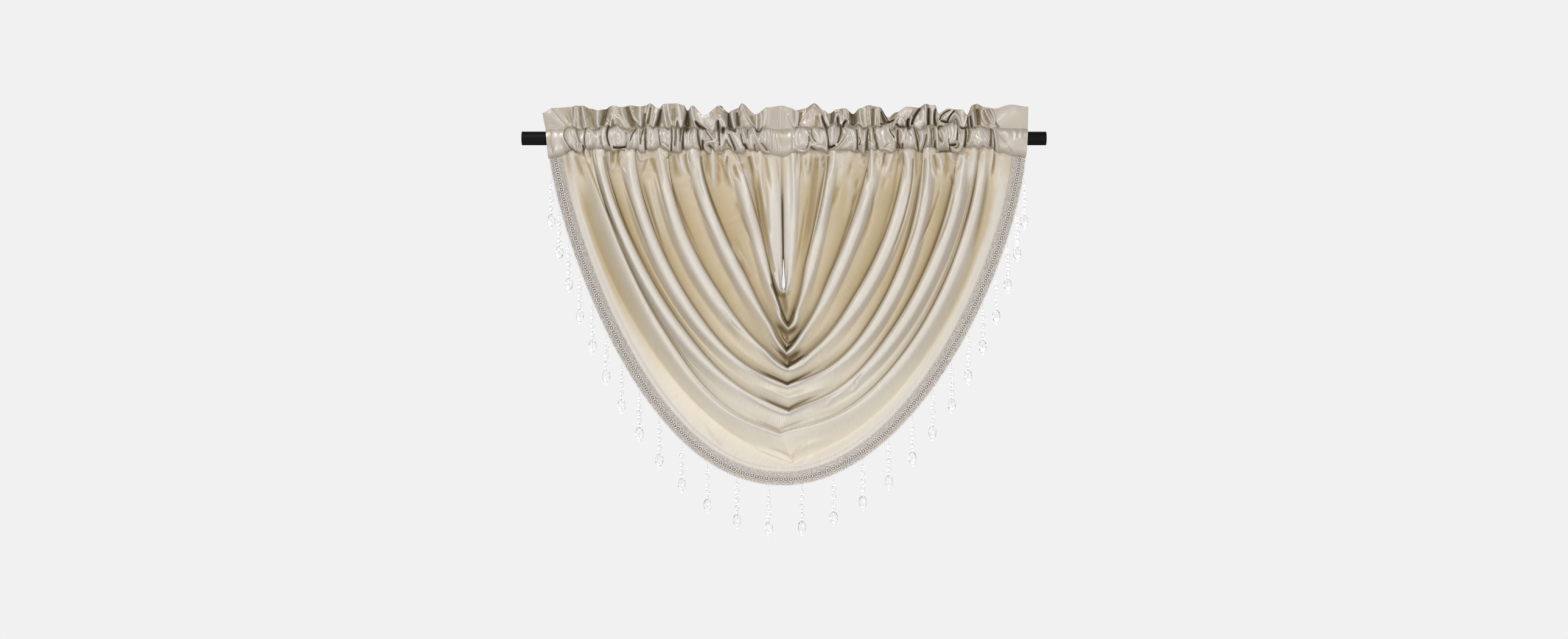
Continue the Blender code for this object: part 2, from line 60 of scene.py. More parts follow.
# The cloth's main folds, from the slit outward. left_x and right_x are where a fold leaves the
# seam, and v_x and v_z are its lowest point. belly and round shape each side's sweep. high and
# wide are the roll's height and half width at the sides, v_high and v_deep are the lip's height
# and the depth of the pocket above it at the middle, and forward is how far the middle hangs
# in front of the rod's axis. The cross lines of the cloth fan out round each V: lead is the share
# of a fold's length that they gain there, and over is how soon they gain it. notch is how far
# both arms of a V rise above their smooth sweep just beside its lowest point.
FOLD_COLUMNS = (
    "name", "left_x", "right_x", "v_x", "v_z",
    "left_belly", "left_round", "right_belly", "right_round",
    "high", "wide", "v_high", "v_deep", "forward", "lead", "over", "notch",
)
FOLDS = (
    ("lip", -27, 20, 0, -295, 1.1, 1.9, 1.3, 1.7, 8, 9, 9, 0, 9, 0.0, 0.06, 0),
    ("sixth", -99, 91, 8, -351, 0.8, 1.35, 1.1, 1.4, 13, 11, 15, 7, 14, 0.13, 0.07, 4),
    ("fifth", -166, 170, 4, -396, 1.5, 1.0, 1.3, 1.3, 15, 12, 17, 8, 18, 0.17, 0.10, 5),
    ("fourth", -226, 234, 6, -425, 1.75, 1.25, 1.6, 1.45, 14, 13, 16, 7, 20, 0.19, 0.14, 5),
    ("third", -286, 266, 6, -457, 1.5, 1.7, 1.75, 1.85, 15, 12, 16, 8, 21, 0.20, 0.18, 6),
    ("second", -343, 331, 9, -506, 1.4, 1.65, 1.55, 1.75, 16, 13, 16, 9, 20, 0.20, 0.22, 8),
    ("first", -360, 370, -7, -545, 1.2, 1.9, 1.55, 1.95, 10, 11, 9, 4, 16, 0.20, 0.26, 8),
)

# The long valley outside the folds, and the hem.
VALLEY = (
    "valley", -387, 390, 13, -597, 1.45, 1.65, 1.7, 1.6, -3, 9, -3, 0, 12, 0.21, 0.30, 7,
)
HEM = ("hem", -433, 446, 0, -640, 1.25, 2.15, 1.4, 1.95, 0, 0, 0, 0, 9, 0.21, 0.34, 0)
PANEL_SWELL_IN = 36.0  # the proud cloth's distance from the hem
V_SHARE = 0.78  # of the solid's height that the lips have beside each V
GROWING = 105.0  # a roll reaches its full height this far below the seam
NOTCH_REACH = 0.13  # the share of a fold's half width at which a notch's arms rise most
SWEEP_POINTS = 400  # of one side of a fold

# The cloth's cut edges at the slit: half its width at each share of its depth. Below zero the
# edges pass each other.
SLIT_TOP_X = -4.0
SLIT_BOTTOM_X = -0.5
SLIT_BOTTOM = -278.0
SLIT = (
    # share of the depth, half width
    (0.0, -0.7), (0.60, -0.8), (0.74, -0.6), (0.79, 0.5), (0.84, 1.1), (0.90, 1.9), (0.95, 2.9),
    (0.975, 2.8), (0.99, 2.1), (0.997, 1.2), (1.0, 0.0),
)
SLIT_TURNED = (0.20, 0.80)  # between these shares of its depth the edges turn in
SLIT_OVERLAP = 2.2  # the left edge passes this far behind the right one
SLIT_CROWDING = 1.15  # how much the cut edge's points crowd at the slit's foot

# The seam under the rod: its height along the drape.
SEAM = (
    # x, height
    (-433, -37), (-400, -30), (-350, -25), (-240, -26), (-150, -24), (-60, -27), (-4, -34),
    (25, -29), (70, -24), (150, -26), (220, -24), (300, -26), (355, -21), (390, -27), (446, -36),
)

# Creases between the pocket's puffs: where each leaves the header stitching, where it meets the
# seam, and how far the puff to its right stands out.
LEFT_CREASES = (
    # x at the stitching, x at the seam, height
    (-401, -402, 8), (-386, -380, 7), (-363, -362, 9), (-350, -343, 6), (-324, -320, 9),
    (-297, -290, 7), (-271, -265, 6), (-258, -253, 9), (-232, -227, 9), (-210, -206, 6),
    (-189, -185, 9), (-158, -153, 10), (-120, -118, 8), (-102, -92, 9), (-80, -70, 8),
    (-58, -44, 7), (-33, -25, 0),
)
RIGHT_CREASES = (
    (20, 17, 8), (38, 51, 9), (76, 82, 8), (103, 96, 10), (132, 135, 5), (156, 149, 7),
    (168, 174, 10), (207, 214, 9), (241, 247, 8), (264, 264, 6), (282, 284, 8), (300, 303, 8),
    (319, 318, 7), (339, 334, 10), (380, 388, 0),
)

# The ruffle's top edge: where each turn of the cloth lies along it, its height, and how far it
# leans away from the viewer.
LEFT_RUFFLE = (
    # x, height, lean
    (-446, 47, 0), (-426, 56, 0), (-391, 58, 0), (-383, 60, -5), (-377, 60, 2), (-372, 60, -4),
    (-357, 55, 2), (-343, 51, -5), (-332, 54, 5), (-316, 60, -3), (-299, 57, -4), (-284, 61, 2),
    (-265, 58, -6), (-254, 61, 3), (-247, 64, -3), (-232, 55, 6), (-220, 63, -5), (-200, 64, -3),
    (-185, 61, -2), (-178, 52, 7), (-169, 60, -5), (-148, 42, 0), (-118, 60, -6), (-102, 48, 7),
    (-96, 51, -4), (-85, 56, 5), (-78, 64, -4), (-52, 44, -3), (-31, 57, 0), (-5, 60, -2),
)
RIGHT_RUFFLE = (
    (-3, 60, -2), (13, 56, -2), (22, 51, -4), (38, 55, 2), (56, 64, -6), (74, 51, -4), (82, 46, 5),
    (99, 54, 2), (112, 55, -4), (128, 46, 6), (140, 55, -5), (157, 61, 0), (176, 57, -6),
    (192, 39, 5), (207, 48, -2), (227, 58, -2), (248, 57, 6), (262, 63, -6), (272, 61, 4),
    (279, 61, -3), (285, 46, 5), (303, 55, -3), (315, 53, -5), (328, 53, 1), (338, 44, 5),
    (347, 61, -4), (356, 64, 5), (370, 57, -5), (388, 55, 2), (418, 62, -3), (451, 58, 0),
)

HEADER_STITCH = 17.0  # height of the stitching between pocket and ruffle
LEFT_HEADING = (-440.0, -5.0)
RIGHT_HEADING = (-3.0, 450.0)
LEFT_LEAN = (-6.0, 6.0)  # the outer end at the ruffle's top and at the seam
RIGHT_LEAN = (1.0, -4.0)

# ------------------------------------------------------------------------ sizes of the looks

PANEL_COLUMNS = 140  # from the middle of a fold to its end, on each side
ROWS_PER_GUIDE = 5
HEADING_STEP = 1.1  # between sections along a heading
RUFFLE_ROWS = 40
POCKET_ROWS = 52
BACK_ROWS = 16

# The folds of the cloth are placed on the photograph's own pixels, x to the right and y down.
PIXEL = 1.124  # millimetres of the drape to a pixel
MIDDLE_PIXEL = (1288.0, 227.0)  # the rod's middle
SEAM_PIXEL = 248.0  # the seam's height

# The line of stitching between ruffle and pocket, and the headings' lower edge.
LEFT_STITCH = (
    # x, y in pixels
    (891, 212), (925, 211), (930, 212), (937, 209), (944, 211), (951, 214), (962, 213), (966, 210),
    (975, 214), (984, 213), (990, 208), (998, 206), (1002, 212), (1008, 207), (1015, 206),
    (1022, 212), (1030, 214), (1037, 213), (1043, 212), (1048, 207), (1053, 211), (1058, 209),
    (1061, 204), (1067, 206), (1073, 212), (1079, 207), (1085, 211), (1092, 210), (1098, 214),
    (1104, 207), (1108, 211), (1113, 209), (1118, 213), (1122, 209), (1126, 206), (1131, 210),
    (1140, 210), (1146, 212), (1150, 211), (1156, 210), (1162, 213), (1170, 219), (1178, 214),
    (1183, 214), (1188, 216), (1193, 211), (1200, 210), (1207, 216), (1210, 209), (1217, 210),
    (1222, 210), (1229, 211), (1237, 208), (1243, 215), (1250, 213), (1254, 210), (1262, 210),
    (1270, 212), (1284, 213),
)
RIGHT_STITCH = (
    (1285, 213), (1300, 211), (1306, 212), (1313, 208), (1320, 210), (1330, 211), (1336, 208),
    (1345, 211), (1352, 212), (1358, 212), (1364, 207), (1371, 203), (1378, 208), (1384, 208),
    (1388, 206), (1396, 207), (1403, 209), (1411, 204), (1416, 212), (1422, 212), (1428, 207),
    (1434, 209), (1440, 208), (1446, 209), (1452, 203), (1458, 205), (1461, 213), (1467, 214),
    (1472, 207), (1478, 209), (1483, 211), (1488, 207), (1493, 211), (1498, 207), (1503, 212),
    (1510, 214), (1518, 211), (1524, 206), (1530, 210), (1535, 205), (1541, 210), (1547, 207),
    (1553, 206), (1558, 203), (1565, 198), (1572, 205), (1580, 212), (1588, 210), (1593, 209),
    (1600, 211), (1608, 207), (1615, 210), (1622, 212), (1628, 211), (1634, 208), (1645, 211),
    (1690, 212),
)
LEFT_EDGE = (
    (903, 261), (915, 258), (926, 255), (934, 249), (941, 247), (948, 252), (955, 251), (960, 247),
    (966, 247), (975, 245), (985, 245), (994, 247), (1002, 249), (1012, 251), (1018, 246),
    (1026, 249), (1031, 246), (1040, 245), (1048, 246), (1052, 251), (1060, 251), (1064, 247),
    (1075, 246), (1084, 243), (1090, 245), (1098, 249), (1106, 251), (1116, 252), (1121, 250),
    (1126, 246), (1146, 246), (1152, 250), (1158, 249), (1166, 253), (1172, 250), (1180, 249),
    (1186, 248), (1200, 247), (1208, 251), (1218, 252), (1226, 249), (1234, 247), (1241, 250),
    (1250, 249), (1258, 253), (1264, 253), (1270, 256), (1284, 258),
)
RIGHT_EDGE = (
    (1286, 258), (1296, 256), (1304, 251), (1312, 251), (1320, 252), (1326, 250), (1333, 247),
    (1342, 247), (1350, 247), (1358, 251), (1366, 247), (1374, 250), (1384, 247), (1392, 246),
    (1402, 250), (1409, 248), (1414, 251), (1418, 256), (1423, 249), (1430, 247), (1442, 249),
    (1447, 248), (1455, 249), (1466, 252), (1473, 247), (1480, 246), (1490, 244), (1500, 245),
    (1507, 250), (1512, 249), (1520, 243), (1530, 242), (1537, 246), (1545, 247), (1555, 247),
    (1560, 248), (1568, 252), (1577, 251), (1582, 246), (1588, 243), (1598, 241), (1606, 244),
    (1613, 240), (1622, 244), (1630, 244), (1635, 249), (1650, 252), (1660, 256), (1672, 257),
    (1684, 259),
)

# Folds, puffs and crevices of the headings: three points in pixels that each runs through, its half
# width in pixels at the first and the last, and how far it stands out in millimetres. Below zero
# it is a crevice.
LEFT_FOLDS = (
    # x1, y1, x2, y2, x3, y3, w1, w3, height
    (909, 178, 922, 193, 937, 210, 1.4, 1.6, 3.0), (905, 187, 915, 198, 926, 207, 6, 5, 1.6),
    (945, 177, 944, 195, 943, 211, 2.2, 2.4, 4.0), (950, 176, 951, 195, 949, 212, 2.2, 2.2, 3.2),
    (957, 175, 960, 190, 963, 211, 2.5, 2.0, 4.0), (954, 178, 954, 195, 958, 212, 1.0, 2.0, -4),
    (947, 178, 947, 195, 946, 212, 0.8, 0.8, -2), (966, 180, 971, 195, 976, 211, 4, 5, -2.5),
    (983, 183, 982, 197, 984, 209, 3.6, 2.4, 5.0), (996, 178, 993, 192, 990, 204, 4, 4, -8),
    (1008, 176, 1009, 183, 1006, 189, 6, 5, 3.0), (1003, 208, 1007, 193, 1012, 207, 1.8, 1.8, 5.0),
    (1007, 198, 1007, 202, 1008, 207, 1.6, 2.0, -4), (1013, 193, 1020, 197, 1027, 208, 3, 3, 4.5),
    (1022, 179, 1025, 192, 1034, 208, 2.4, 2.4, 4.5), (1031, 178, 1035, 190, 1040, 205, 3, 5, -7),
    (1038, 185, 1040, 193, 1047, 200, 1.2, 1.2, 3.5), (1033, 180, 1036, 188, 1040, 197, 1, 1, 2.0),
    (1052, 177, 1052, 195, 1052, 211, 3.2, 2.8, 6.0), (1060, 188, 1059, 197, 1058, 207, 2, 3, -7),
    (1067, 172, 1063, 185, 1060, 200, 2.4, 1.6, 4.0), (1069, 177, 1067, 190, 1064, 202, 1, 2, -7),
    (1074, 175, 1071, 190, 1068, 203, 1.4, 1.4, 2.5), (1080, 178, 1077, 195, 1073, 209, 2.4, 2, 5.5),
    (1086, 181, 1083, 194, 1080, 206, 2, 4, -10), (1090, 173, 1092, 190, 1096, 209, 2.6, 2, 6.0),
    (1097, 172, 1100, 190, 1104, 205, 2.6, 2, 4.5), (1094, 176, 1096, 190, 1099, 208, 0.8, 1, -2.5),
    (1107, 180, 1107, 188, 1106, 196, 3, 3, -3), (1114, 172, 1117, 190, 1121, 208, 3.6, 3, 5.0),
    (1109, 209, 1113, 195, 1118, 209, 1.5, 1.5, 5.5), (1113, 200, 1113, 205, 1113, 210, 1, 2, -5),
    (1130, 181, 1129, 196, 1128, 212, 0.8, 7.5, -13), (1136, 177, 1138, 190, 1143, 205, 2.8, 2, 6.5),
    (1158, 193, 1165, 202, 1170, 213, 9, 3.5, 6.5), (1140, 193, 1153, 205, 1168, 217, 1.1, 1.2, 8.0),
    (1143, 201, 1148, 207, 1155, 212, 2, 3, -11), (1148, 187, 1158, 188, 1168, 185, 3, 3, 2.5),
    (1168, 186, 1171, 197, 1169, 208, 1.2, 1.2, 8.0), (1173, 211, 1178, 194, 1187, 210, 1.6, 1.8, 7),
    (1180, 199, 1180, 206, 1181, 214, 1.4, 2.6, -12), (1188, 211, 1188, 214, 1188, 218, 3, 2.5, -11),
    (1185, 195, 1190, 202, 1192, 211, 2.6, 2.6, 6.0), (1197, 184, 1198, 196, 1200, 211, 0.8, 4.4, -13),
    (1182, 176, 1188, 181, 1194, 182, 1.4, 1.4, 4.5), (1185, 176, 1188, 177, 1191, 178, 0.8, 1, -5),
    (1202, 184, 1204, 196, 1207, 211, 3.0, 2.0, 6.0), (1211, 186, 1212, 195, 1213, 205, 1.6, 3, -9),
    (1219, 172, 1215, 182, 1212, 190, 1.6, 1.2, 3.5), (1221, 180, 1223, 192, 1226, 204, 5, 5, 2.2),
    (1221, 177, 1229, 193, 1239, 207, 1.5, 1.8, 5.5), (1243, 188, 1243, 200, 1243, 212, 2, 2, 5.0),
    (1250, 186, 1251, 200, 1249, 212, 2.2, 2.0, 4.0), (1246.5, 189, 1247, 200, 1246, 212, 0.8, 0.8, -3),
    (1259, 181, 1258, 195, 1255, 209, 2.6, 2.2, 3.0), (1234, 192, 1237, 200, 1240, 206, 2, 2, -3.5),
    # the pocket
    (913, 216, 915, 228, 914, 248, 5.5, 5, 2.4), (906, 214, 905, 230, 909, 250, 3, 3, -1.2),
    (937, 218, 938, 227, 938, 235, 6.4, 6, 6.5), (930, 212, 928, 225, 934, 238, 1.1, 0.9, -7),
    (934, 238, 940, 245, 948, 250, 1.0, 1.4, -6), (944, 214, 948, 225, 951, 236, 2, 1.6, 6.5),
    (948, 213, 951, 225, 955, 237, 0.9, 0.9, -6), (960, 216, 959, 224, 957, 231, 5, 4.4, 5.5),
    (950, 238, 952, 248, 956, 250, 1.8, 1.8, 6.5), (956, 250, 957, 242, 953, 236, 1.6, 1.4, 5.5),
    (959, 240, 960, 245, 960, 249, 1.4, 2.2, -9), (942, 236, 945, 243, 949, 250, 1.3, 1.3, 4.0),
    (965, 243, 964, 226, 968, 212, 1.2, 1.2, 7.0), (968, 212, 976, 222, 973, 239, 1.2, 1.2, 7.0),
    (970, 219, 970, 228, 969, 238, 3.8, 3.2, 5.5), (963, 212, 962, 228, 964, 246, 0.9, 1.3, -8),
    (973, 213, 978, 221, 981, 230, 1.6, 1.2, 4.5), (983, 214, 984, 228, 982, 243, 3.6, 4.5, 4.5),
    (993, 210, 992, 225, 993, 240, 4.2, 3.6, 6.5), (988, 224, 989, 235, 993, 246, 1.0, 1.8, -5),
    (1000, 208, 999, 225, 1003, 240, 1.8, 1.1, -13), (1004, 212, 1002, 228, 1009, 248, 1.6, 1.8, 7),
    (1008, 211, 1006, 226, 1013, 244, 1.3, 1.6, 6.0), (1018, 222, 1019, 229, 1018, 236, 7.6, 7.4, 8.0),
    (1008, 232, 1008, 221, 1014, 209, 1.1, 1.1, 7.5), (1028, 238, 1028, 222, 1017, 212, 1.2, 1.2, 8.5),
    (1010, 243, 1018, 243, 1028, 242, 2.2, 1.6, -13), (1016, 208, 1021, 213, 1028, 216, 2, 2, 5.0),
    (1029.5, 218, 1030, 228, 1030, 240, 0.8, 0.8, -6), (1034, 222, 1035, 235, 1029, 248, 2.6, 2, 6.5),
    (1046, 211, 1040, 222, 1036, 234, 1.2, 0.9, -9), (1043, 222, 1043, 232, 1042, 243, 3.6, 4, 5.5),
    (1050, 212, 1050, 228, 1053, 248, 1.8, 2.2, 6.5), (1058, 212, 1055, 224, 1053, 238, 1, 0.9, -9),
    (1058, 224, 1057, 235, 1057, 248, 3.0, 3.2, 6.5), (1061.5, 212, 1061, 230, 1062, 249, 1.0, 1.5, -11),
    (1065, 206, 1066, 222, 1065, 244, 1.5, 1.5, 5.5), (1074, 214, 1074, 228, 1072, 241, 5.2, 6.0, 7.0),
    (1080, 210, 1075, 219, 1070, 231, 1.0, 1.0, 8.0), (1083.5, 214, 1084, 228, 1086, 239, 0.9, 1, -8),
    (1092, 219, 1092, 227, 1093, 234, 6.4, 6.0, 8.0), (1084, 222, 1088, 212, 1098, 216, 1.1, 1.1, 7.5),
    (1100, 215, 1102, 228, 1100, 246, 1.4, 1.6, 7.0), (1088, 238, 1095, 242, 1101, 248, 1.3, 1.5, 6.0),
    (1088, 235, 1095, 238, 1099, 243, 0.7, 0.7, -4), (1103.5, 210, 1105, 228, 1103, 249, 1, 1.2, -10),
    (1108, 212, 1107, 228, 1107, 246, 1.7, 2.0, 6.0), (1111, 212, 1111, 225, 1109, 240, 1.3, 1.1, -7),
    (1114, 214, 1115, 230, 1114, 248, 2.0, 2.4, 6.5), (1119, 212, 1119, 222, 1118, 233, 1.4, 1, -9),
    (1124, 210, 1123, 228, 1122, 249, 1.2, 1.7, -13), (1127, 209, 1125.5, 225, 1126, 240, 1.3, 1.4, 6),
    (1133, 212, 1132, 226, 1131, 241, 2.8, 3.6, 6.5), (1137.5, 211, 1135, 221, 1134, 230, 1.2, 0.9, -5),
    (1143, 210, 1141, 225, 1143, 243, 2.8, 3.8, 7.0), (1147, 213, 1148, 228, 1152, 246, 1.1, 1.6, -11),
    (1153, 213, 1154, 220, 1153, 228, 3.2, 2.6, 6.5), (1155, 232, 1155, 240, 1155, 249, 1.2, 2.4, -13),
    (1158, 211, 1163, 220, 1170, 230, 1.0, 0.8, -7), (1162, 213, 1167, 222, 1173, 230, 1.8, 1.6, 6.5),
    (1157, 241, 1165, 234, 1180, 236, 1.7, 1.8, 7.5), (1158, 240, 1161, 247, 1167, 252, 1.6, 1.8, 6.5),
    (1166, 240, 1170, 244, 1172, 249, 1.8, 2.4, -9), (1177, 239, 1177, 243, 1177, 249, 2.8, 3, 5.5),
    (1176, 217, 1178, 225, 1176, 231, 2.0, 1.8, 5.0), (1181, 212, 1182, 225, 1183, 239, 1.3, 1, -12),
    (1185, 220, 1185, 231, 1185, 247, 1.7, 2.0, 6.5), (1193, 212, 1191, 226, 1187, 241, 1.8, 1.6, 7.0),
    (1194, 221, 1199, 235, 1207, 247, 2.0, 2.4, 6.5), (1194, 232, 1197, 238, 1201, 243, 1.6, 2, -6),
    (1198, 221, 1203, 234, 1208, 247, 0.9, 1.9, -11), (1206, 220, 1212, 231, 1218, 245, 5.2, 5.6, 8.0),
    (1200, 211, 1204, 215, 1208, 217, 1.4, 1.8, -11), (1217, 221, 1219, 231, 1222, 240, 1, 1.2, -11),
    (1223, 238, 1226, 243, 1228, 249, 2.0, 2.6, -13), (1220, 212, 1223, 224, 1227, 236, 1.5, 1.4, 6.0),
    (1229, 213, 1228, 220, 1229, 228, 1.0, 0.8, -7), (1234, 223, 1234, 232, 1234, 243, 3.4, 3.4, 6.0),
    (1236, 209, 1243, 228, 1252, 246, 1.9, 2.2, 7.0), (1240, 238, 1240, 243, 1241, 249, 0.8, 1.4, -9),
    (1243, 215, 1246, 217, 1250, 215, 1.8, 1.6, -9), (1253, 214, 1249, 224, 1248, 232, 1.3, 1.3, 5.5),
    (1258, 219, 1258, 226, 1257, 233, 4.4, 4.2, 6.0), (1262, 213, 1266, 228, 1265, 246, 1.4, 1.7, 6.5),
    (1251, 236, 1256, 241, 1260, 247, 0.8, 1.3, -6), (1249, 239, 1255, 248, 1263, 252, 1.8, 1.7, 5.5),
    (1268, 214, 1269, 232, 1267, 252, 0.9, 0.9, 2.0), (1273, 214, 1272, 232, 1274, 254, 0.8, 0.8, 1.6),
    (1279, 214, 1278, 232, 1279, 255, 0.8, 0.8, 1.6), (1283, 178, 1281, 195, 1282, 210, 0.8, 1, 1.4),
)
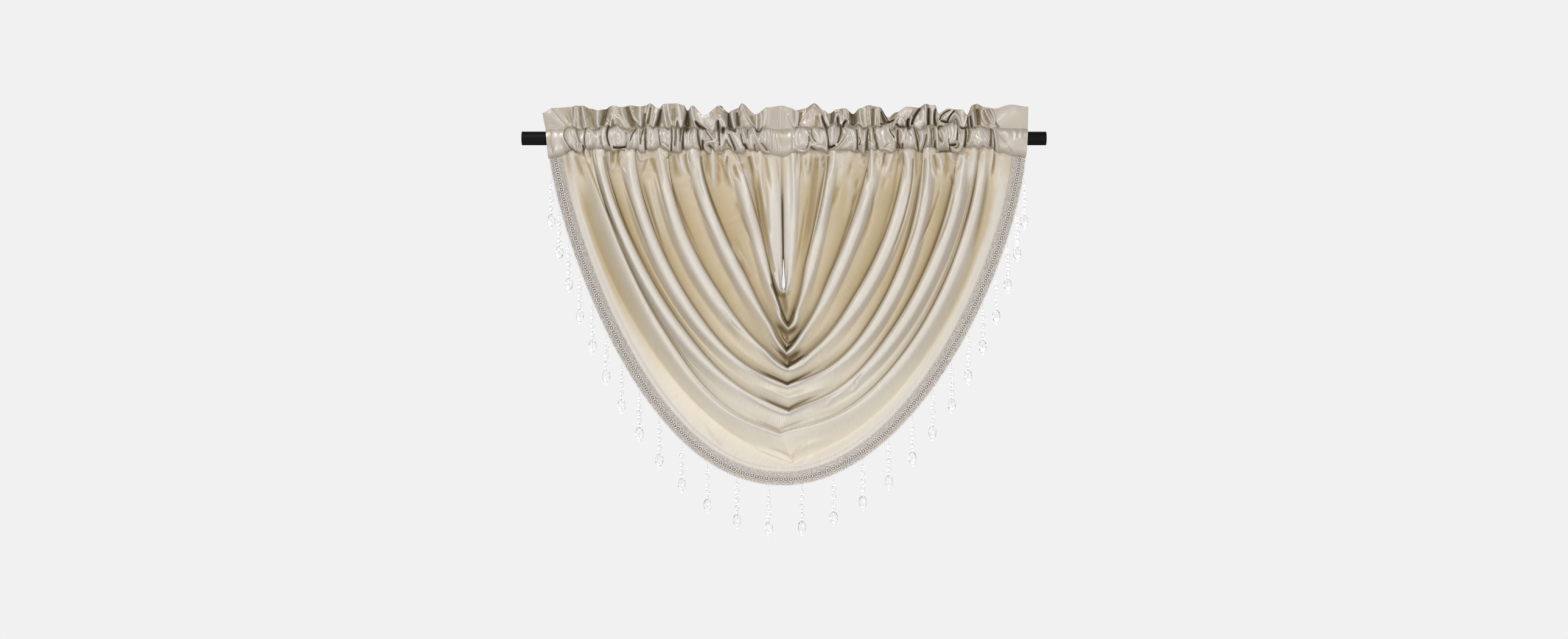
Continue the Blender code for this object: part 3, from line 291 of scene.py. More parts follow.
RIGHT_FOLDS = (
    (1291, 182, 1291, 195, 1293, 208, 0.8, 0.8, 1.4), (1296, 190, 1300, 200, 1305, 210, 1, 1.2, 2.6),
    (1307, 183, 1308, 195, 1306, 209, 1.7, 1.6, 4.5), (1311, 184, 1311.5, 195, 1309.5, 207, 1.2, 1.2, 4),
    (1316, 186, 1314, 195, 1312, 205, 2.0, 2.4, -5), (1337, 173, 1325, 187, 1313, 203, 1.3, 1.2, 4),
    (1334, 186, 1329, 195, 1324, 204, 7, 7, 2.6), (1339, 175, 1344, 183, 1349, 190, 1.4, 1.6, 4.0),
    (1342, 192, 1341, 200, 1340, 208, 2, 2.4, -3), (1346, 189, 1348, 198, 1349, 209, 1.8, 2.2, 4.5),
    (1350, 189, 1353, 200, 1358, 211, 0.8, 2.4, -12), (1357, 186, 1359, 195, 1361, 203, 2.8, 2.2, 6.5),
    (1367, 184, 1368, 192, 1366, 202, 3.4, 3.4, -8), (1371, 205, 1373, 191, 1378, 187, 1.6, 1.6, 7.0),
    (1378, 187, 1380.5, 195, 1380, 206, 1.6, 1.6, 7.0), (1376, 193, 1377, 200, 1378, 207, 1.2, 1.8, -10),
    (1385.5, 179, 1386, 187, 1385, 194, 1.2, 1.2, 4.5), (1389.5, 179, 1390, 187, 1390, 194, 1.2, 1.2, 5),
    (1393, 181, 1394, 188, 1394, 194, 1.2, 1.2, 3.5), (1382, 206, 1386, 196, 1392, 196, 1.4, 1.4, 6.5),
    (1392, 196, 1394, 201, 1391, 207, 1.4, 1.4, 6.0), (1385, 208, 1386, 203, 1389, 199, 2.0, 1.4, -12),
    (1400, 188, 1402, 195, 1402, 203, 6, 5.5, -9), (1412, 182, 1413, 195, 1417, 209, 2.0, 2.2, 6.0),
    (1421, 179, 1421, 195, 1423, 207, 3.0, 2.6, 4.5), (1416.5, 181, 1417, 195, 1419, 207, 0.9, 0.9, -3),
    (1427.5, 176, 1429, 192, 1430, 207, 1.3, 1.5, 5.0), (1434, 180, 1434, 194, 1433, 205, 2, 2.2, -6),
    (1438.5, 180, 1438, 193, 1438, 206, 1.7, 1.7, 5.5), (1443, 178, 1444, 190, 1444, 202, 1.8, 1.6, 4.5),
    (1448, 184, 1451, 194, 1454, 201, 1.2, 4, -10), (1448.5, 180, 1454, 190, 1459, 199, 0.8, 1.0, -8),
    (1452, 179, 1457, 186, 1462, 194, 2.6, 2.6, 4.5), (1447, 204, 1458, 201, 1468, 197, 1.6, 1.2, -11),
    (1463, 196, 1468, 189, 1474, 182, 2.4, 2.4, -4), (1475, 192, 1470, 200, 1467, 208, 1.6, 1.7, 6.0),
    (1472, 197, 1477, 193, 1475, 203, 1.2, 1.2, 5.5), (1478, 206, 1481, 194, 1486, 205, 1.6, 1.6, 6.5),
    (1473, 204, 1476, 207, 1479, 209, 1.4, 1.8, -10), (1482, 207, 1484, 209, 1486, 210, 1.0, 1.0, -9),
    (1478, 191, 1488, 184, 1499, 178, 4, 5, 4.0), (1499, 180, 1494, 188, 1488, 196, 1.2, 1.2, 6.0),
    (1511, 179, 1503, 190, 1498, 203, 2.0, 2.4, -11), (1492, 196, 1491, 203, 1492, 211, 2, 3, -13),
    (1498, 192, 1496, 199, 1495, 206, 1.0, 1.0, 5.0), (1514, 184, 1514, 194, 1507, 204, 4, 5, 6.0),
    (1520, 190, 1518, 199, 1514, 207, 1.2, 1.2, 7.0), (1519.5, 175, 1520, 190, 1521, 203, 1.6, 1.6, 6),
    (1525.5, 179, 1525, 192, 1525, 203, 2.0, 2.8, -11), (1530.5, 173, 1531, 188, 1530, 203, 2.2, 2, 6.5),
    (1537, 180, 1535, 192, 1537, 205, 1.6, 2.4, -12), (1541, 176, 1542, 184, 1542, 192, 2, 2, 3.5),
    (1544, 196, 1549, 187, 1560, 181, 0.9, 0.9, -9), (1562, 184, 1556, 190, 1549, 195, 3.2, 2.6, 4.5),
    (1568, 182, 1561, 190, 1556, 201, 0.9, 1.6, -12), (1546, 198, 1552, 200, 1557, 201, 1.2, 2.4, -10),
    (1558, 202, 1566, 188, 1575, 195, 2.2, 2.2, 6.5), (1575, 195, 1578, 203, 1578, 210, 2, 1.6, 6.5),
    (1566, 206, 1570, 196, 1573, 206, 1.0, 1.0, -5), (1582, 183, 1583, 195, 1582, 206, 4.2, 4.2, 4.0),
    (1588, 191, 1586, 200, 1583, 208, 1.1, 1.1, 6.0), (1578, 210, 1583, 211, 1588, 209, 1.4, 1.2, -11),
    (1590, 192, 1590, 201, 1591, 211, 0.8, 1.6, -11), (1597.5, 185, 1599, 195, 1600, 207, 1.6, 1.7, 6),
    (1594, 191, 1595, 199, 1596, 208, 1.4, 2.2, -11), (1606, 181, 1607, 192, 1607, 204, 3.0, 3.2, -8),
    (1612, 182, 1613, 193, 1620, 204, 1.8, 1.8, 5.5), (1618, 181, 1622, 190, 1631, 203, 1.3, 1.2, 4.5),
    (1615.5, 182, 1619, 192, 1626, 203, 0.8, 0.8, -4), (1622, 176, 1631, 186, 1634, 202, 1.7, 1.5, 4.5),
    (1624, 180, 1630, 190, 1633, 200, 0.8, 0.8, -4), (1636, 205, 1648, 194, 1665, 182, 3.4, 5.0, 1.4),
    (1635, 200, 1637, 204, 1640, 208, 1.4, 2.2, -5),
    # the pocket
    (1302, 214, 1303, 230, 1303, 247, 1.6, 1.8, 4.5), (1315, 222, 1315, 229, 1316, 236, 7.2, 7.0, 8.0),
    (1312, 212, 1306, 225, 1309, 241, 1.2, 1.2, 7.5), (1318, 212, 1326, 226, 1325, 240, 1.2, 1.2, 8.0),
    (1328.5, 219, 1329, 231, 1325, 246, 0.9, 0.9, -7), (1307, 243, 1313, 249, 1323, 250, 1.7, 1.7, 5.5),
    (1319, 209, 1328, 221, 1337, 237, 1.6, 1.6, 6.5), (1337, 214, 1343, 223, 1343, 233, 4, 5, 7.0),
    (1333, 212, 1334, 224, 1340, 234, 0.9, 0.9, -7), (1327, 247, 1332, 239, 1343, 243, 1.7, 1.8, 7.0),
    (1343, 243, 1351, 243, 1358, 250, 1.8, 1.8, 6.0), (1332, 242, 1337, 245, 1342, 247, 1, 1.4, -9),
    (1349, 212, 1351, 226, 1349, 237, 2.8, 2.6, 5.5), (1353, 213, 1356, 228, 1358, 245, 1.7, 2, 6.0),
    (1357.5, 212, 1360, 227, 1361, 240, 1.1, 1.1, -11), (1366, 209, 1367, 221, 1366, 233, 5, 5.4, 9.0),
    (1363, 214, 1362, 224, 1364, 232, 0.7, 0.7, -3), (1371, 212, 1371, 224, 1369, 234, 0.7, 0.7, -3),
    (1361, 241, 1365, 242, 1370, 240, 2.2, 2.0, -13), (1361, 243, 1362, 247, 1363, 251, 1.5, 1.5, -12),
    (1380, 206, 1381, 218, 1376, 235, 1.8, 1.0, -11), (1392, 223, 1382, 238, 1369, 247, 1.2, 1.4, 6.0),
    (1386, 222, 1378, 236, 1367, 244, 1.0, 1.1, 5.0), (1389, 222, 1380, 237, 1368, 246, 0.5, 0.6, -2.5),
    (1395, 220, 1397, 232, 1388, 243, 4.2, 4.2, 6.0), (1387, 209, 1394, 218, 1398, 231, 1.1, 1.1, 7.5),
    (1384, 205, 1392, 212, 1402, 216, 1.6, 1.8, 5.5), (1402, 218, 1404, 232, 1403, 246, 2.8, 2.6, 6.5),
    (1406.5, 214, 1408, 228, 1408, 248, 0.9, 1.1, -11), (1403, 208, 1410, 203, 1416, 208, 1.4, 1.4, 5.5),
    (1412, 211, 1413, 225, 1415, 237, 2.4, 2.0, 5.5), (1411, 228, 1413, 233, 1411, 239, 0.9, 1, -7),
    (1420, 216, 1419, 230, 1417, 250, 2.0, 2.2, 6.5), (1426, 212, 1424, 230, 1423, 250, 0.9, 2.3, -13),
    (1430.5, 209, 1431, 221, 1431, 232, 1.5, 1.4, 6.0), (1427.5, 222, 1428, 228, 1429, 235, 1, 1, -6),
    (1431, 236, 1432, 242, 1432, 248, 2.6, 2.8, 5.0), (1434.5, 209, 1437, 226, 1442, 248, 0.9, 1.8, -12),
    (1449, 216, 1450, 226, 1452, 237, 7.0, 7.2, 9.0), (1440, 214, 1452, 203, 1459, 212, 1.5, 1.5, 6.5),
    (1458, 212, 1466, 228, 1467, 246, 1.6, 1.9, 7.0), (1446, 245, 1455, 246, 1466, 251, 1.7, 1.7, 6.0),
    (1452, 244, 1456, 240, 1461, 236, 0.8, 0.8, -4), (1461, 215, 1464, 221, 1468, 227, 1.3, 1, -11),
    (1462, 212, 1468, 221, 1471, 232, 1.6, 1.5, 5.5), (1474, 214, 1474, 228, 1474, 243, 1.2, 1.7, -12),
    (1476, 238, 1477, 242, 1478, 246, 1.6, 2.2, -11), (1479, 213, 1482, 223, 1480, 235, 1.8, 1.6, 6.0),
    (1481.5, 237, 1482, 241, 1481, 246, 1.0, 1.4, -11), (1487, 213, 1485, 228, 1486, 242, 2.0, 2, 6.5),
    (1496, 216, 1496, 227, 1494, 238, 4.2, 4.6, 7.0), (1490, 213, 1492, 219, 1497, 225, 0.8, 0.8, -6),
    (1501, 210, 1505, 228, 1508, 247, 1.0, 1.5, -12), (1504.5, 213, 1508, 224, 1509, 234, 0.9, 0.8, -8),
    (1513, 216, 1514, 228, 1510, 245, 3.4, 2.4, 7.0), (1521, 222, 1519, 234, 1514, 247, 0.8, 1.1, -8),
    (1524, 209, 1525, 222, 1523, 238, 1.7, 1.8, 6.5), (1529, 214, 1530, 226, 1530, 238, 0.9, 0.9, -8),
    (1532, 211, 1533, 221, 1533, 231, 1.0, 0.8, -9), (1537, 209, 1538, 225, 1540, 245, 1.7, 2.0, 6.5),
    (1535, 232, 1535, 238, 1536, 245, 1.1, 1.9, -12), (1546, 214, 1550, 226, 1546, 240, 1.9, 2, 6.5),
    (1541, 212, 1543, 208, 1547, 208, 1.6, 1.4, -11), (1540, 222, 1543, 229, 1547, 234, 1, 1, -8),
    (1553, 209, 1555, 225, 1558, 242, 2.4, 2.6, 6.5), (1557, 229, 1558, 238, 1560, 247, 0.8, 1.3, -10),
    (1563, 209, 1564, 218, 1562, 228, 4.6, 5, 7.0), (1569, 201, 1570, 215, 1567, 232, 1.3, 1.3, 7.0),
    (1560, 239, 1564, 239, 1568, 238, 2.2, 2.0, -13), (1572, 211, 1571.5, 221, 1571, 231, 0.9, 0.9, -9),
    (1564, 246, 1573, 249, 1577, 240, 1.9, 1.9, 7.5), (1577, 240, 1574, 231, 1575, 221, 1.7, 1.6, 6.5),
    (1568, 243, 1572, 242, 1574, 236, 0.8, 0.9, -6), (1581, 213, 1581, 225, 1579, 240, 2.4, 2.2, 6.5),
    (1586, 212, 1585, 230, 1582, 248, 1.0, 2.0, -13), (1591, 214, 1590, 224, 1588, 233, 1.5, 1.4, -7),
    (1596, 214, 1594, 227, 1589, 239, 1.4, 1.4, 6.5), (1607, 217, 1608, 227, 1606, 237, 8.5, 9, 8.0),
    (1612, 214, 1617, 224, 1622, 235, 0.7, 0.7, -3), (1599.5, 219, 1599, 228, 1595, 237, 0.7, 0.7, -4),
    (1590, 244, 1599, 240, 1605, 246, 1.5, 1.5, 5.5), (1607, 246, 1614, 240, 1622, 245, 1.5, 1.5, 6.0),
    (1627, 212, 1627, 225, 1626, 240, 1.5, 2.0, -9), (1631, 211, 1634, 226, 1637, 245, 1.5, 1.8, 6.0),
    (1629, 213, 1632, 228, 1633, 246, 0.8, 1.0, -9), (1650, 216, 1656, 226, 1653, 240, 4, 4, 1.6),
    (1664, 212, 1667, 222, 1664, 233, 1.8, 1.8, 1.8), (1676, 211, 1676, 221, 1675, 232, 1.3, 1.3, 1.8),
    (1640, 221, 1650, 234, 1662, 250, 1.6, 1.8, -1.4),
)

# Ridges, hollows and sharp edges of the panel beside its main folds, in the same columns.
PANEL_FOLDS = (
    # left half: the edges of the folds
    (961, 256, 998, 347, 1048, 456, 0.9, 0.9, -3.0), (993, 258, 1018, 347, 1071, 457, 0.9, 1.0, -4.0),
    (1019, 275, 1042, 345, 1078, 440, 1.6, 2.0, -3.0), (1052, 285, 1069, 345, 1100, 440, 1.2, 1.2, -2.5),
    (1074, 262, 1088, 320, 1115, 410, 2.0, 2.0, -2.5), (1093, 262, 1117, 345, 1165, 450, 0.8, 1.0, -3.0),
    (1126, 254, 1129, 274, 1139, 300, 0.8, 0.8, -4.0), (1139, 300, 1152, 345, 1190, 420, 2.0, 2.4, -2.0),
    (1152, 258, 1166, 322, 1205, 413, 0.9, 1.0, -4.5), (1184, 253, 1191, 283, 1203, 320, 0.8, 0.9, -4.5),
    (1203, 320, 1221, 362, 1246, 425, 0.9, 1.6, -3.0), (1231, 258, 1243, 325, 1258, 420, 0.9, 1.1, -7.0),
    (1240, 280, 1251, 350, 1266, 445, 4.0, 3.0, -4.0), (1265, 440, 1273, 475, 1285, 510, 1.2, 1.2, -5.0),
    # left half: ridges and hollows under the seam
    (940, 262, 950, 300, 965, 350, 6, 7, 2.0), (947, 258, 953, 277, 961, 300, 2.0, 3.0, -3.0),
    (958, 244, 959, 252, 957, 262, 1.2, 1.4, -4.0), (963, 250, 966, 267, 974, 258, 1.3, 1.3, 3.5),
    (969, 251, 970, 256, 969, 261, 1.5, 1.5, -3.0), (983, 249, 989, 283, 1003, 325, 6, 5, 4.0),
    (978, 250, 980, 262, 986, 280, 1.0, 1.0, -1.5), (1001, 252, 1004, 277, 1013, 266, 1.3, 1.3, 3.0),
    (1006, 252, 1006, 262, 1006, 272, 2.6, 2.0, -4.0), (1016, 250, 1015, 262, 1017, 280, 1.6, 2, -4.0),
    (1029, 250, 1021, 263, 1022, 274, 1.1, 1.1, 5.0), (1022, 274, 1026, 280, 1033, 292, 1.1, 1.1, 3.0),
    (1034, 258, 1038, 285, 1046, 325, 6, 7.5, 4.5), (1048, 250, 1054, 263, 1063, 255, 1.2, 1.2, 4.5),
    (1056, 253, 1056, 256, 1056, 259, 3, 2.4, 2.5), (1063, 262, 1058, 275, 1056, 292, 1.4, 2.0, -3.0),
    (1066, 290, 1076, 345, 1095, 405, 4.6, 5.0, 3.0), (1070, 262, 1076, 277, 1082, 296, 2.6, 2.4, -3.5),
    (1084, 249, 1089, 275, 1097, 310, 2.8, 3.6, 4.5), (1096, 261, 1100, 256, 1104, 249, 1.6, 1.6, -2.5),
    (1092, 254, 1096, 257, 1101, 252, 1.6, 1.6, 3.0), (1107, 257, 1110, 277, 1119, 300, 2.0, 3.4, -3.5),
    (1118, 254, 1122, 274, 1131, 294, 2.8, 3.6, 3.5), (1113, 254, 1115, 262, 1119, 272, 1.0, 1.0, -2.5),
    (1138, 253, 1141, 262, 1148, 285, 7, 5.5, 4.5), (1132, 252, 1132, 262, 1138, 272, 1.0, 1.0, -2.0),
    (1148, 262, 1156, 305, 1174, 350, 3.0, 3.4, 3.5), (1160, 254, 1162, 272, 1168, 300, 2.4, 3, -3.5),
    (1170, 250, 1172, 285, 1175, 322, 2.2, 3.4, 3.5), (1180, 252, 1181, 283, 1184, 320, 2.6, 3, -3.5),
    (1191, 256, 1191, 262, 1189, 270, 2.6, 1.8, 3.5), (1195, 258, 1193, 268, 1190, 277, 0.9, 0.8, -3.5),
    (1198, 262, 1199, 287, 1209, 314, 1.3, 1.4, 4.5), (1205, 266, 1209, 283, 1215, 302, 2.4, 3.4, -4.0),
    (1206, 256, 1216, 268, 1231, 262, 1.4, 1.4, 3.0), (1224, 275, 1228, 305, 1240, 350, 7.5, 5.5, 4.5),
    (1216, 282, 1219, 298, 1226, 318, 1.4, 1.6, 2.0), (1238, 251, 1240, 268, 1246, 288, 2.0, 1.8, 5.0),
    (1243, 251, 1244, 264, 1248, 285, 0.8, 0.8, -4.0), (1249, 253, 1251, 300, 1262, 372, 1.6, 2.2, 4.5),
    (1262, 372, 1268, 410, 1277, 450, 2.2, 2.6, 3.0), (1258, 260, 1261, 285, 1267, 325, 2.2, 3.6, -2.5),
    (1270, 262, 1272, 300, 1275, 360, 5.5, 4.5, 2.5), (1277, 262, 1280, 285, 1282, 305, 1.2, 1.2, -1.6),
    (1207, 382, 1216, 405, 1232, 428, 1.5, 2.5, -1.8), (1212, 400, 1225, 430, 1238, 455, 3, 4, 2.0),
    (1197, 404, 1208, 418, 1222, 432, 4, 5, 2.4), (1224, 338, 1236, 370, 1250, 410, 4, 4, 2.0),
    # right half: the edges of the folds
    (1331, 254, 1331, 283, 1329, 312, 0.9, 0.9, -4.0), (1328, 313, 1318, 375, 1306, 455, 1.2, 1.1, -4.5),
    (1341, 262, 1331, 345, 1312, 452, 5.0, 3.4, -4.0), (1361, 258, 1349, 335, 1322, 440, 0.9, 1.0, -5.0),
    (1408, 272, 1399, 348, 1360, 455, 0.9, 1.0, -4.0), (1436, 300, 1428, 362, 1402, 425, 2.0, 2.6, -2.6),
    (1475, 262, 1463, 335, 1435, 420, 1.8, 2.4, -3.0), (1500, 262, 1488, 345, 1450, 450, 0.9, 1.0, -4.5),
    (1519, 262, 1503, 370, 1468, 448, 0.9, 1.0, -4.0), (1545, 298, 1530, 353, 1500, 420, 1.1, 1.1, -4.5),
    (1566, 305, 1555, 360, 1525, 430, 1.4, 2.0, -4.0), (1605, 265, 1594, 337, 1570, 410, 1.3, 1.8, -2.4),
    (1626, 265, 1613, 350, 1590, 440, 3.6, 6.0, -3.0),
    # right half: ridges and hollows under the seam
    (1302, 258, 1304, 310, 1303, 380, 3.4, 3.6, 4.0), (1293, 262, 1294, 310, 1294, 380, 3, 3, 1.2),
    (1312, 255, 1313, 277, 1310, 305, 1.5, 1.5, 2.5), (1316.5, 255, 1317, 272, 1315, 296, 1, 1, -3.0),
    (1327, 251, 1329.5, 282, 1329, 306, 1.5, 1.6, 5.0), (1319, 258, 1322, 284, 1327, 306, 1.1, 1.4, 3.5),
    (1322.5, 258, 1325, 276, 1327, 293, 0.9, 0.9, -2.5), (1309, 254, 1307, 275, 1307, 300, 0.9, 1, -2),
    (1345, 252, 1346, 266, 1344, 290, 2.4, 3.0, 2.5), (1350.5, 251, 1352, 266, 1354, 285, 1.1, 1.4, -4),
    (1357, 255, 1357, 265, 1356, 282, 1.4, 1.6, 3.0), (1372, 252, 1369, 272, 1361, 300, 3.8, 3.6, 5.0),
    (1361, 300, 1352, 350, 1337, 405, 3.4, 3.4, 2.5), (1377, 300, 1373, 322, 1364, 352, 2.6, 3.4, -3.2),
    (1384, 258, 1383, 282, 1379, 300, 4.0, 3.0, 2.5), (1394, 250, 1391, 265, 1389, 288, 3, 2, 2.5),
    (1402, 254, 1398, 271, 1391, 295, 1.4, 2.2, -3.5), (1398, 285, 1397, 325, 1385, 375, 2.2, 3.0, 2.6),
    (1411, 256, 1416, 266, 1420, 278, 2.4, 2.4, 3.0), (1416, 254, 1420, 265, 1424, 271, 1.6, 1.6, -2.5),
    (1424, 272, 1424, 288, 1422, 306, 0.9, 1.2, -3.5), (1431, 251, 1432, 277, 1429, 306, 3.0, 3.4, 5.0),
    (1429, 306, 1420, 337, 1400, 378, 5.0, 6.5, 3.5), (1439, 252, 1438, 262, 1436, 275, 1.2, 1.2, -3.0),
    (1443, 253, 1447, 264, 1441, 283, 1.8, 2.0, 4.0), (1453, 252, 1452, 264, 1450, 279, 1.6, 1.8, -4.5),
    (1464, 254, 1458, 275, 1447, 292, 1.8, 2.6, 4.5), (1456, 288, 1452, 300, 1448, 318, 2.2, 2.6, -2.5),
    (1470, 256, 1466, 275, 1460, 300, 1.6, 2.4, -2.0), (1476, 248, 1478, 262, 1477, 285, 1.6, 2, -3.5),
    (1484, 250, 1492, 262, 1498, 268, 3.0, 1.6, 3.5), (1489, 256, 1492, 280, 1487, 305, 4.2, 3.2, 5.0),
    (1480, 249, 1483, 264, 1487, 281, 1.6, 1.6, -2.5), (1506, 252, 1507, 275, 1506, 300, 3.4, 3.6, -2.5),
    (1515, 252, 1517, 262, 1519, 275, 1.2, 1.0, 4.0), (1524, 250, 1524, 285, 1518, 330, 2.6, 3.6, 5.0),
    (1529, 256, 1532, 281, 1544, 296, 1.1, 1.2, 4.0), (1540, 254, 1546, 272, 1545, 292, 1.2, 1.2, 4.5),
    (1535, 256, 1538, 270, 1541, 284, 1.6, 1.6, -4.5), (1527, 256, 1528, 270, 1532, 287, 0.8, 0.8, -3.0),
    (1553, 252, 1555, 275, 1553, 300, 2.8, 3.6, -3.5), (1561, 255, 1569, 266, 1578, 257, 1.6, 1.6, 4.0),
    (1579, 260, 1574, 275, 1563, 288, 1.8, 1.8, -2.5), (1565, 268, 1568, 273, 1563, 282, 2.4, 2, 2.0),
    (1560, 284, 1564, 296, 1566, 312, 0.9, 1.0, -3.5), (1583, 262, 1578, 295, 1571, 340, 4.4, 4.2, 4.5),
    (1588, 250, 1589, 258, 1584, 262, 1.8, 1.8, -2.0), (1600, 250, 1598, 275, 1590, 310, 5.0, 5.5, 3.0),
    (1607, 262, 1609, 252, 1613, 246, 1.2, 1.2, -2.5), (1617, 252, 1615, 275, 1608, 320, 3.0, 5.0, 2.5),
    (1631, 250, 1629, 265, 1625, 290, 1.1, 1.6, 3.0), (1634, 254, 1632, 272, 1628, 300, 1.0, 2, -3.5),
    (1646, 262, 1641, 290, 1632, 330, 6, 7, 2.0),
)

# Lips and pockets of the folds round the middle that lie on one side of a V or differ from side
# to side, in the same columns.
MIDDLE_FOLDS = (
    (1294, 533, 1286, 521, 1280, 500, 3.2, 1.4, -7), (1295, 533, 1302, 523, 1306, 500, 3.2, 1.4, -7),
    (1287, 486, 1290, 504, 1294, 526, 6.0, 3.6, -7),
    (1272, 450, 1286, 480, 1300, 450, 1.6, 1.6, 4.0),
    (1269, 468, 1285, 488, 1302, 472, 2.6, 2.6, -6),
    (1293, 548, 1284, 541, 1272, 526, 5.5, 4.0, -10),
    (1293, 548, 1302, 543, 1315, 530, 5.5, 4.0, -8), (1293, 550, 1293, 556, 1292, 566, 4.5, 3.0, -8),
    (1293, 588, 1285, 582, 1272, 568, 5.0, 3.0, -9), (1293, 588, 1304, 584, 1322, 568, 6.0, 4.0, -9),
    (1295, 590, 1298, 594, 1303, 603, 5.0, 3.0, -8),
    (1309, 601, 1319, 598, 1327, 585, 1.4, 1.6, 3.0),
    (1318, 590, 1324, 584, 1334, 578, 1.2, 2, -3.5), (1398, 641, 1407, 631, 1412, 612, 1.8, 3, 2),
    (1402, 630, 1408, 620, 1424, 604, 1.4, 2.4, -3), (1360, 662, 1375, 648, 1398, 640, 2, 3, 1.6),
    (1194, 508, 1206, 523, 1224, 541, 3.4, 3.6, 2.2),
    (1202, 528, 1212, 538, 1232, 553, 1.6, 1.6, -2), (1196, 532, 1206, 546, 1216, 560, 4, 5, -1),
    (1186, 730, 1168, 710, 1150, 680, 2, 3, -1.2), (1190, 728, 1176, 706, 1160, 680, 3, 4, 1.0),
)

# Lips and pockets with two like arms, from each V's lowest point: the middle and the end of the left
# arm and of the right one, then the half widths at the lowest point and at the ends.
V_FOLDS = (
    # x, y, left x2, y2, x3, y3, right x2, y2, x3, y3, w1, w3, height
    (1295, 539, 1282, 524, 1271, 498, 1307, 530, 1314, 498, 1.3, 2.6, 3.5),
    (1293, 563, 1283, 548, 1272, 520, 1306, 557, 1318, 540, 1.6, 1.0, -6),
    (1292, 580, 1277, 563, 1256, 525, 1310, 565, 1332, 528, 1.3, 2.6, 3.5),
    (1292, 574, 1279, 557, 1264, 530, 1305, 561, 1320, 535, 2.6, 1.0, -6),
    (1300, 596, 1283, 583, 1262, 560, 1312, 589, 1324, 580, 1.8, 1.0, -5),
    (1293, 606, 1270, 592, 1238, 555, 1318, 597, 1358, 560, 1.3, 2.6, 3.5),
    (1293, 601, 1276, 591, 1254, 570, 1308, 594, 1330, 578, 2.0, 1.0, -5),
    (1293, 634, 1262, 622, 1212, 592, 1325, 621, 1372, 594, 1.3, 2.6, 3.5),
    (1293, 629, 1272, 620, 1240, 604, 1316, 618, 1348, 602, 2.2, 1.0, -5),
    (1296, 652, 1275, 643, 1232, 628, 1322, 645, 1368, 630, 2.2, 3, 1.6),
    (1296, 648, 1285, 644, 1265, 638, 1310, 643, 1330, 638, 2.2, 2, -2),
    (1296, 677, 1262, 667, 1206, 632, 1335, 658, 1396, 632, 1.4, 3.0, 3.5),
    (1296, 671, 1275, 664, 1243, 648, 1318, 659, 1352, 646, 2.6, 1.2, -5),
    (1280, 712, 1245, 698, 1180, 668, 1322, 696, 1400, 674, 1.6, 4.0, 2),
    (1280, 706, 1262, 698, 1232, 686, 1300, 697, 1328, 688, 2.4, 1.6, -2),
    (1300, 758, 1268, 745, 1212, 722, 1318, 733, 1378, 718, 1.8, 4, 1.8),
    (1300, 752, 1285, 742, 1255, 733, 1311, 735, 1332, 724, 2.4, 2, -2),
)

# The trim, with insets from its outer edge, swings to each side of them and lifts from its middle.
SCALLOP_BAND = 7.6
CHAIN_BAND = 16.2
CHAIN_MIDDLE = 0.5 * (SCALLOP_BAND + CHAIN_BAND)
NET_PITCH = 2.8
YARNS = (
    # inset, swing, pitch, lift, start in half turns, radius
    *((CHAIN_BAND + 1.9 + 2.0 * n, 1.25, NET_PITCH, 1.1, n, 0.56) for n in range(4)),
    *((3.0 + 2.3 * n, 1.2, NET_PITCH, 1.1, n, 0.56) for n in range(2)),
    (SCALLOP_BAND - 0.2, 0.35, 2.4, 1.2, 0, 0.6),
    (CHAIN_BAND + 0.3, 0.35, 2.4, 1.2, 0, 0.6),
    (BRAID_WIDTH - 0.7, 0.35, 2.4, 1.2, 0, 0.6),
)
YARN_SIDES = 3
YARN_SWAY = 0.35  # a yarn lies this far above and below its lift
SCALLOP_PITCH = 5.0
SCALLOP_ROOT = 1.6  # inset of the edge's loops at their feet
SCALLOP_OUT = 1.5  # and how far they stand out from there
SCALLOP_LIFT = 0.5
SCALLOP_RADIUS = 0.5
RING_PITCH = 9.4
RING_LONG = 0.56  # half a ring's length, as a share of the pitch
RING_WIDE = 3.7  # half its width
RING_LIFT = 1.7
RING_TILT = 0.55  # one end of a ring lies this far above its lift and the other below
RING_CORD = 0.9
KNOT = (0.8, 1.2)  # half a knot's length and width
KNOT_LIFT = 1.0
KNOT_CORD = 1.25
GROUND_FROM = 1.4  # inset of the ground's outer edge
GROUND_LIFT = 0.25
GROUND_DARK = (3.6, 1.6)  # the ground has painted shade this far from the rings' line, and it fades over this

# Beads of one strand, by the depth of each one's middle below the root, and the rings of points
# that every bead is cut from.
BEADS = (
    # depth, half width, half height, facets round it
    (9.9, 3.3, 2.7, 8), (15.2, 3.4, 2.6, 8), (22.6, 4.6, 4.4, 10), (30.2, 3.4, 2.7, 8),
    (37.9, 4.7, 4.5, 10), (45.4, 3.4, 2.7, 8), (53.1, 4.6, 4.4, 10), (60.6, 3.4, 2.7, 8),
    (76.2, 7.6, 11.6, 12), (89.3, 2.9, 2.6, 8),
)
BEAD_RINGS = (
    # height as a share of the bead's half height, width as a share of its half width
    (0.97, 0.26), (0.72, 0.70), (0.26, 0.98), (-0.26, 0.98), (-0.72, 0.70), (-0.97, 0.26),
)
THREAD_RADIUS = 0.35
THREAD_DEPTHS = (-2.0, 4.0, 8.0, 30.0, 60.0, 88.0)  # where a thread has its points
STRAND_LEAN = 0.006  # typical slope of a strand off the upright

PALE_SURROUND = 0.88  # how bright the surround is to the camera
SOFT_LIGHT = 0.26  # and to the cloth

PALE_FROM = -0.24  # metres along the drape where painted light begins to turn its gold cream
PALE_TO = -0.50

FLOOR_Z = -2.0
FLOOR_RADIUS = 2.2


# --------------------------------------------------------------------------- helpers

def smooth(value):
    """A soft step from 0 at 0 to 1 at 1."""
    value = np.clip(value, 0.0, 1.0)
    return value * value * (3.0 - 2.0 * value)


def eased(value, start, stop):
    """A soft step from 0 at start to 1 at stop."""
    return smooth((value - start) / (stop - start))


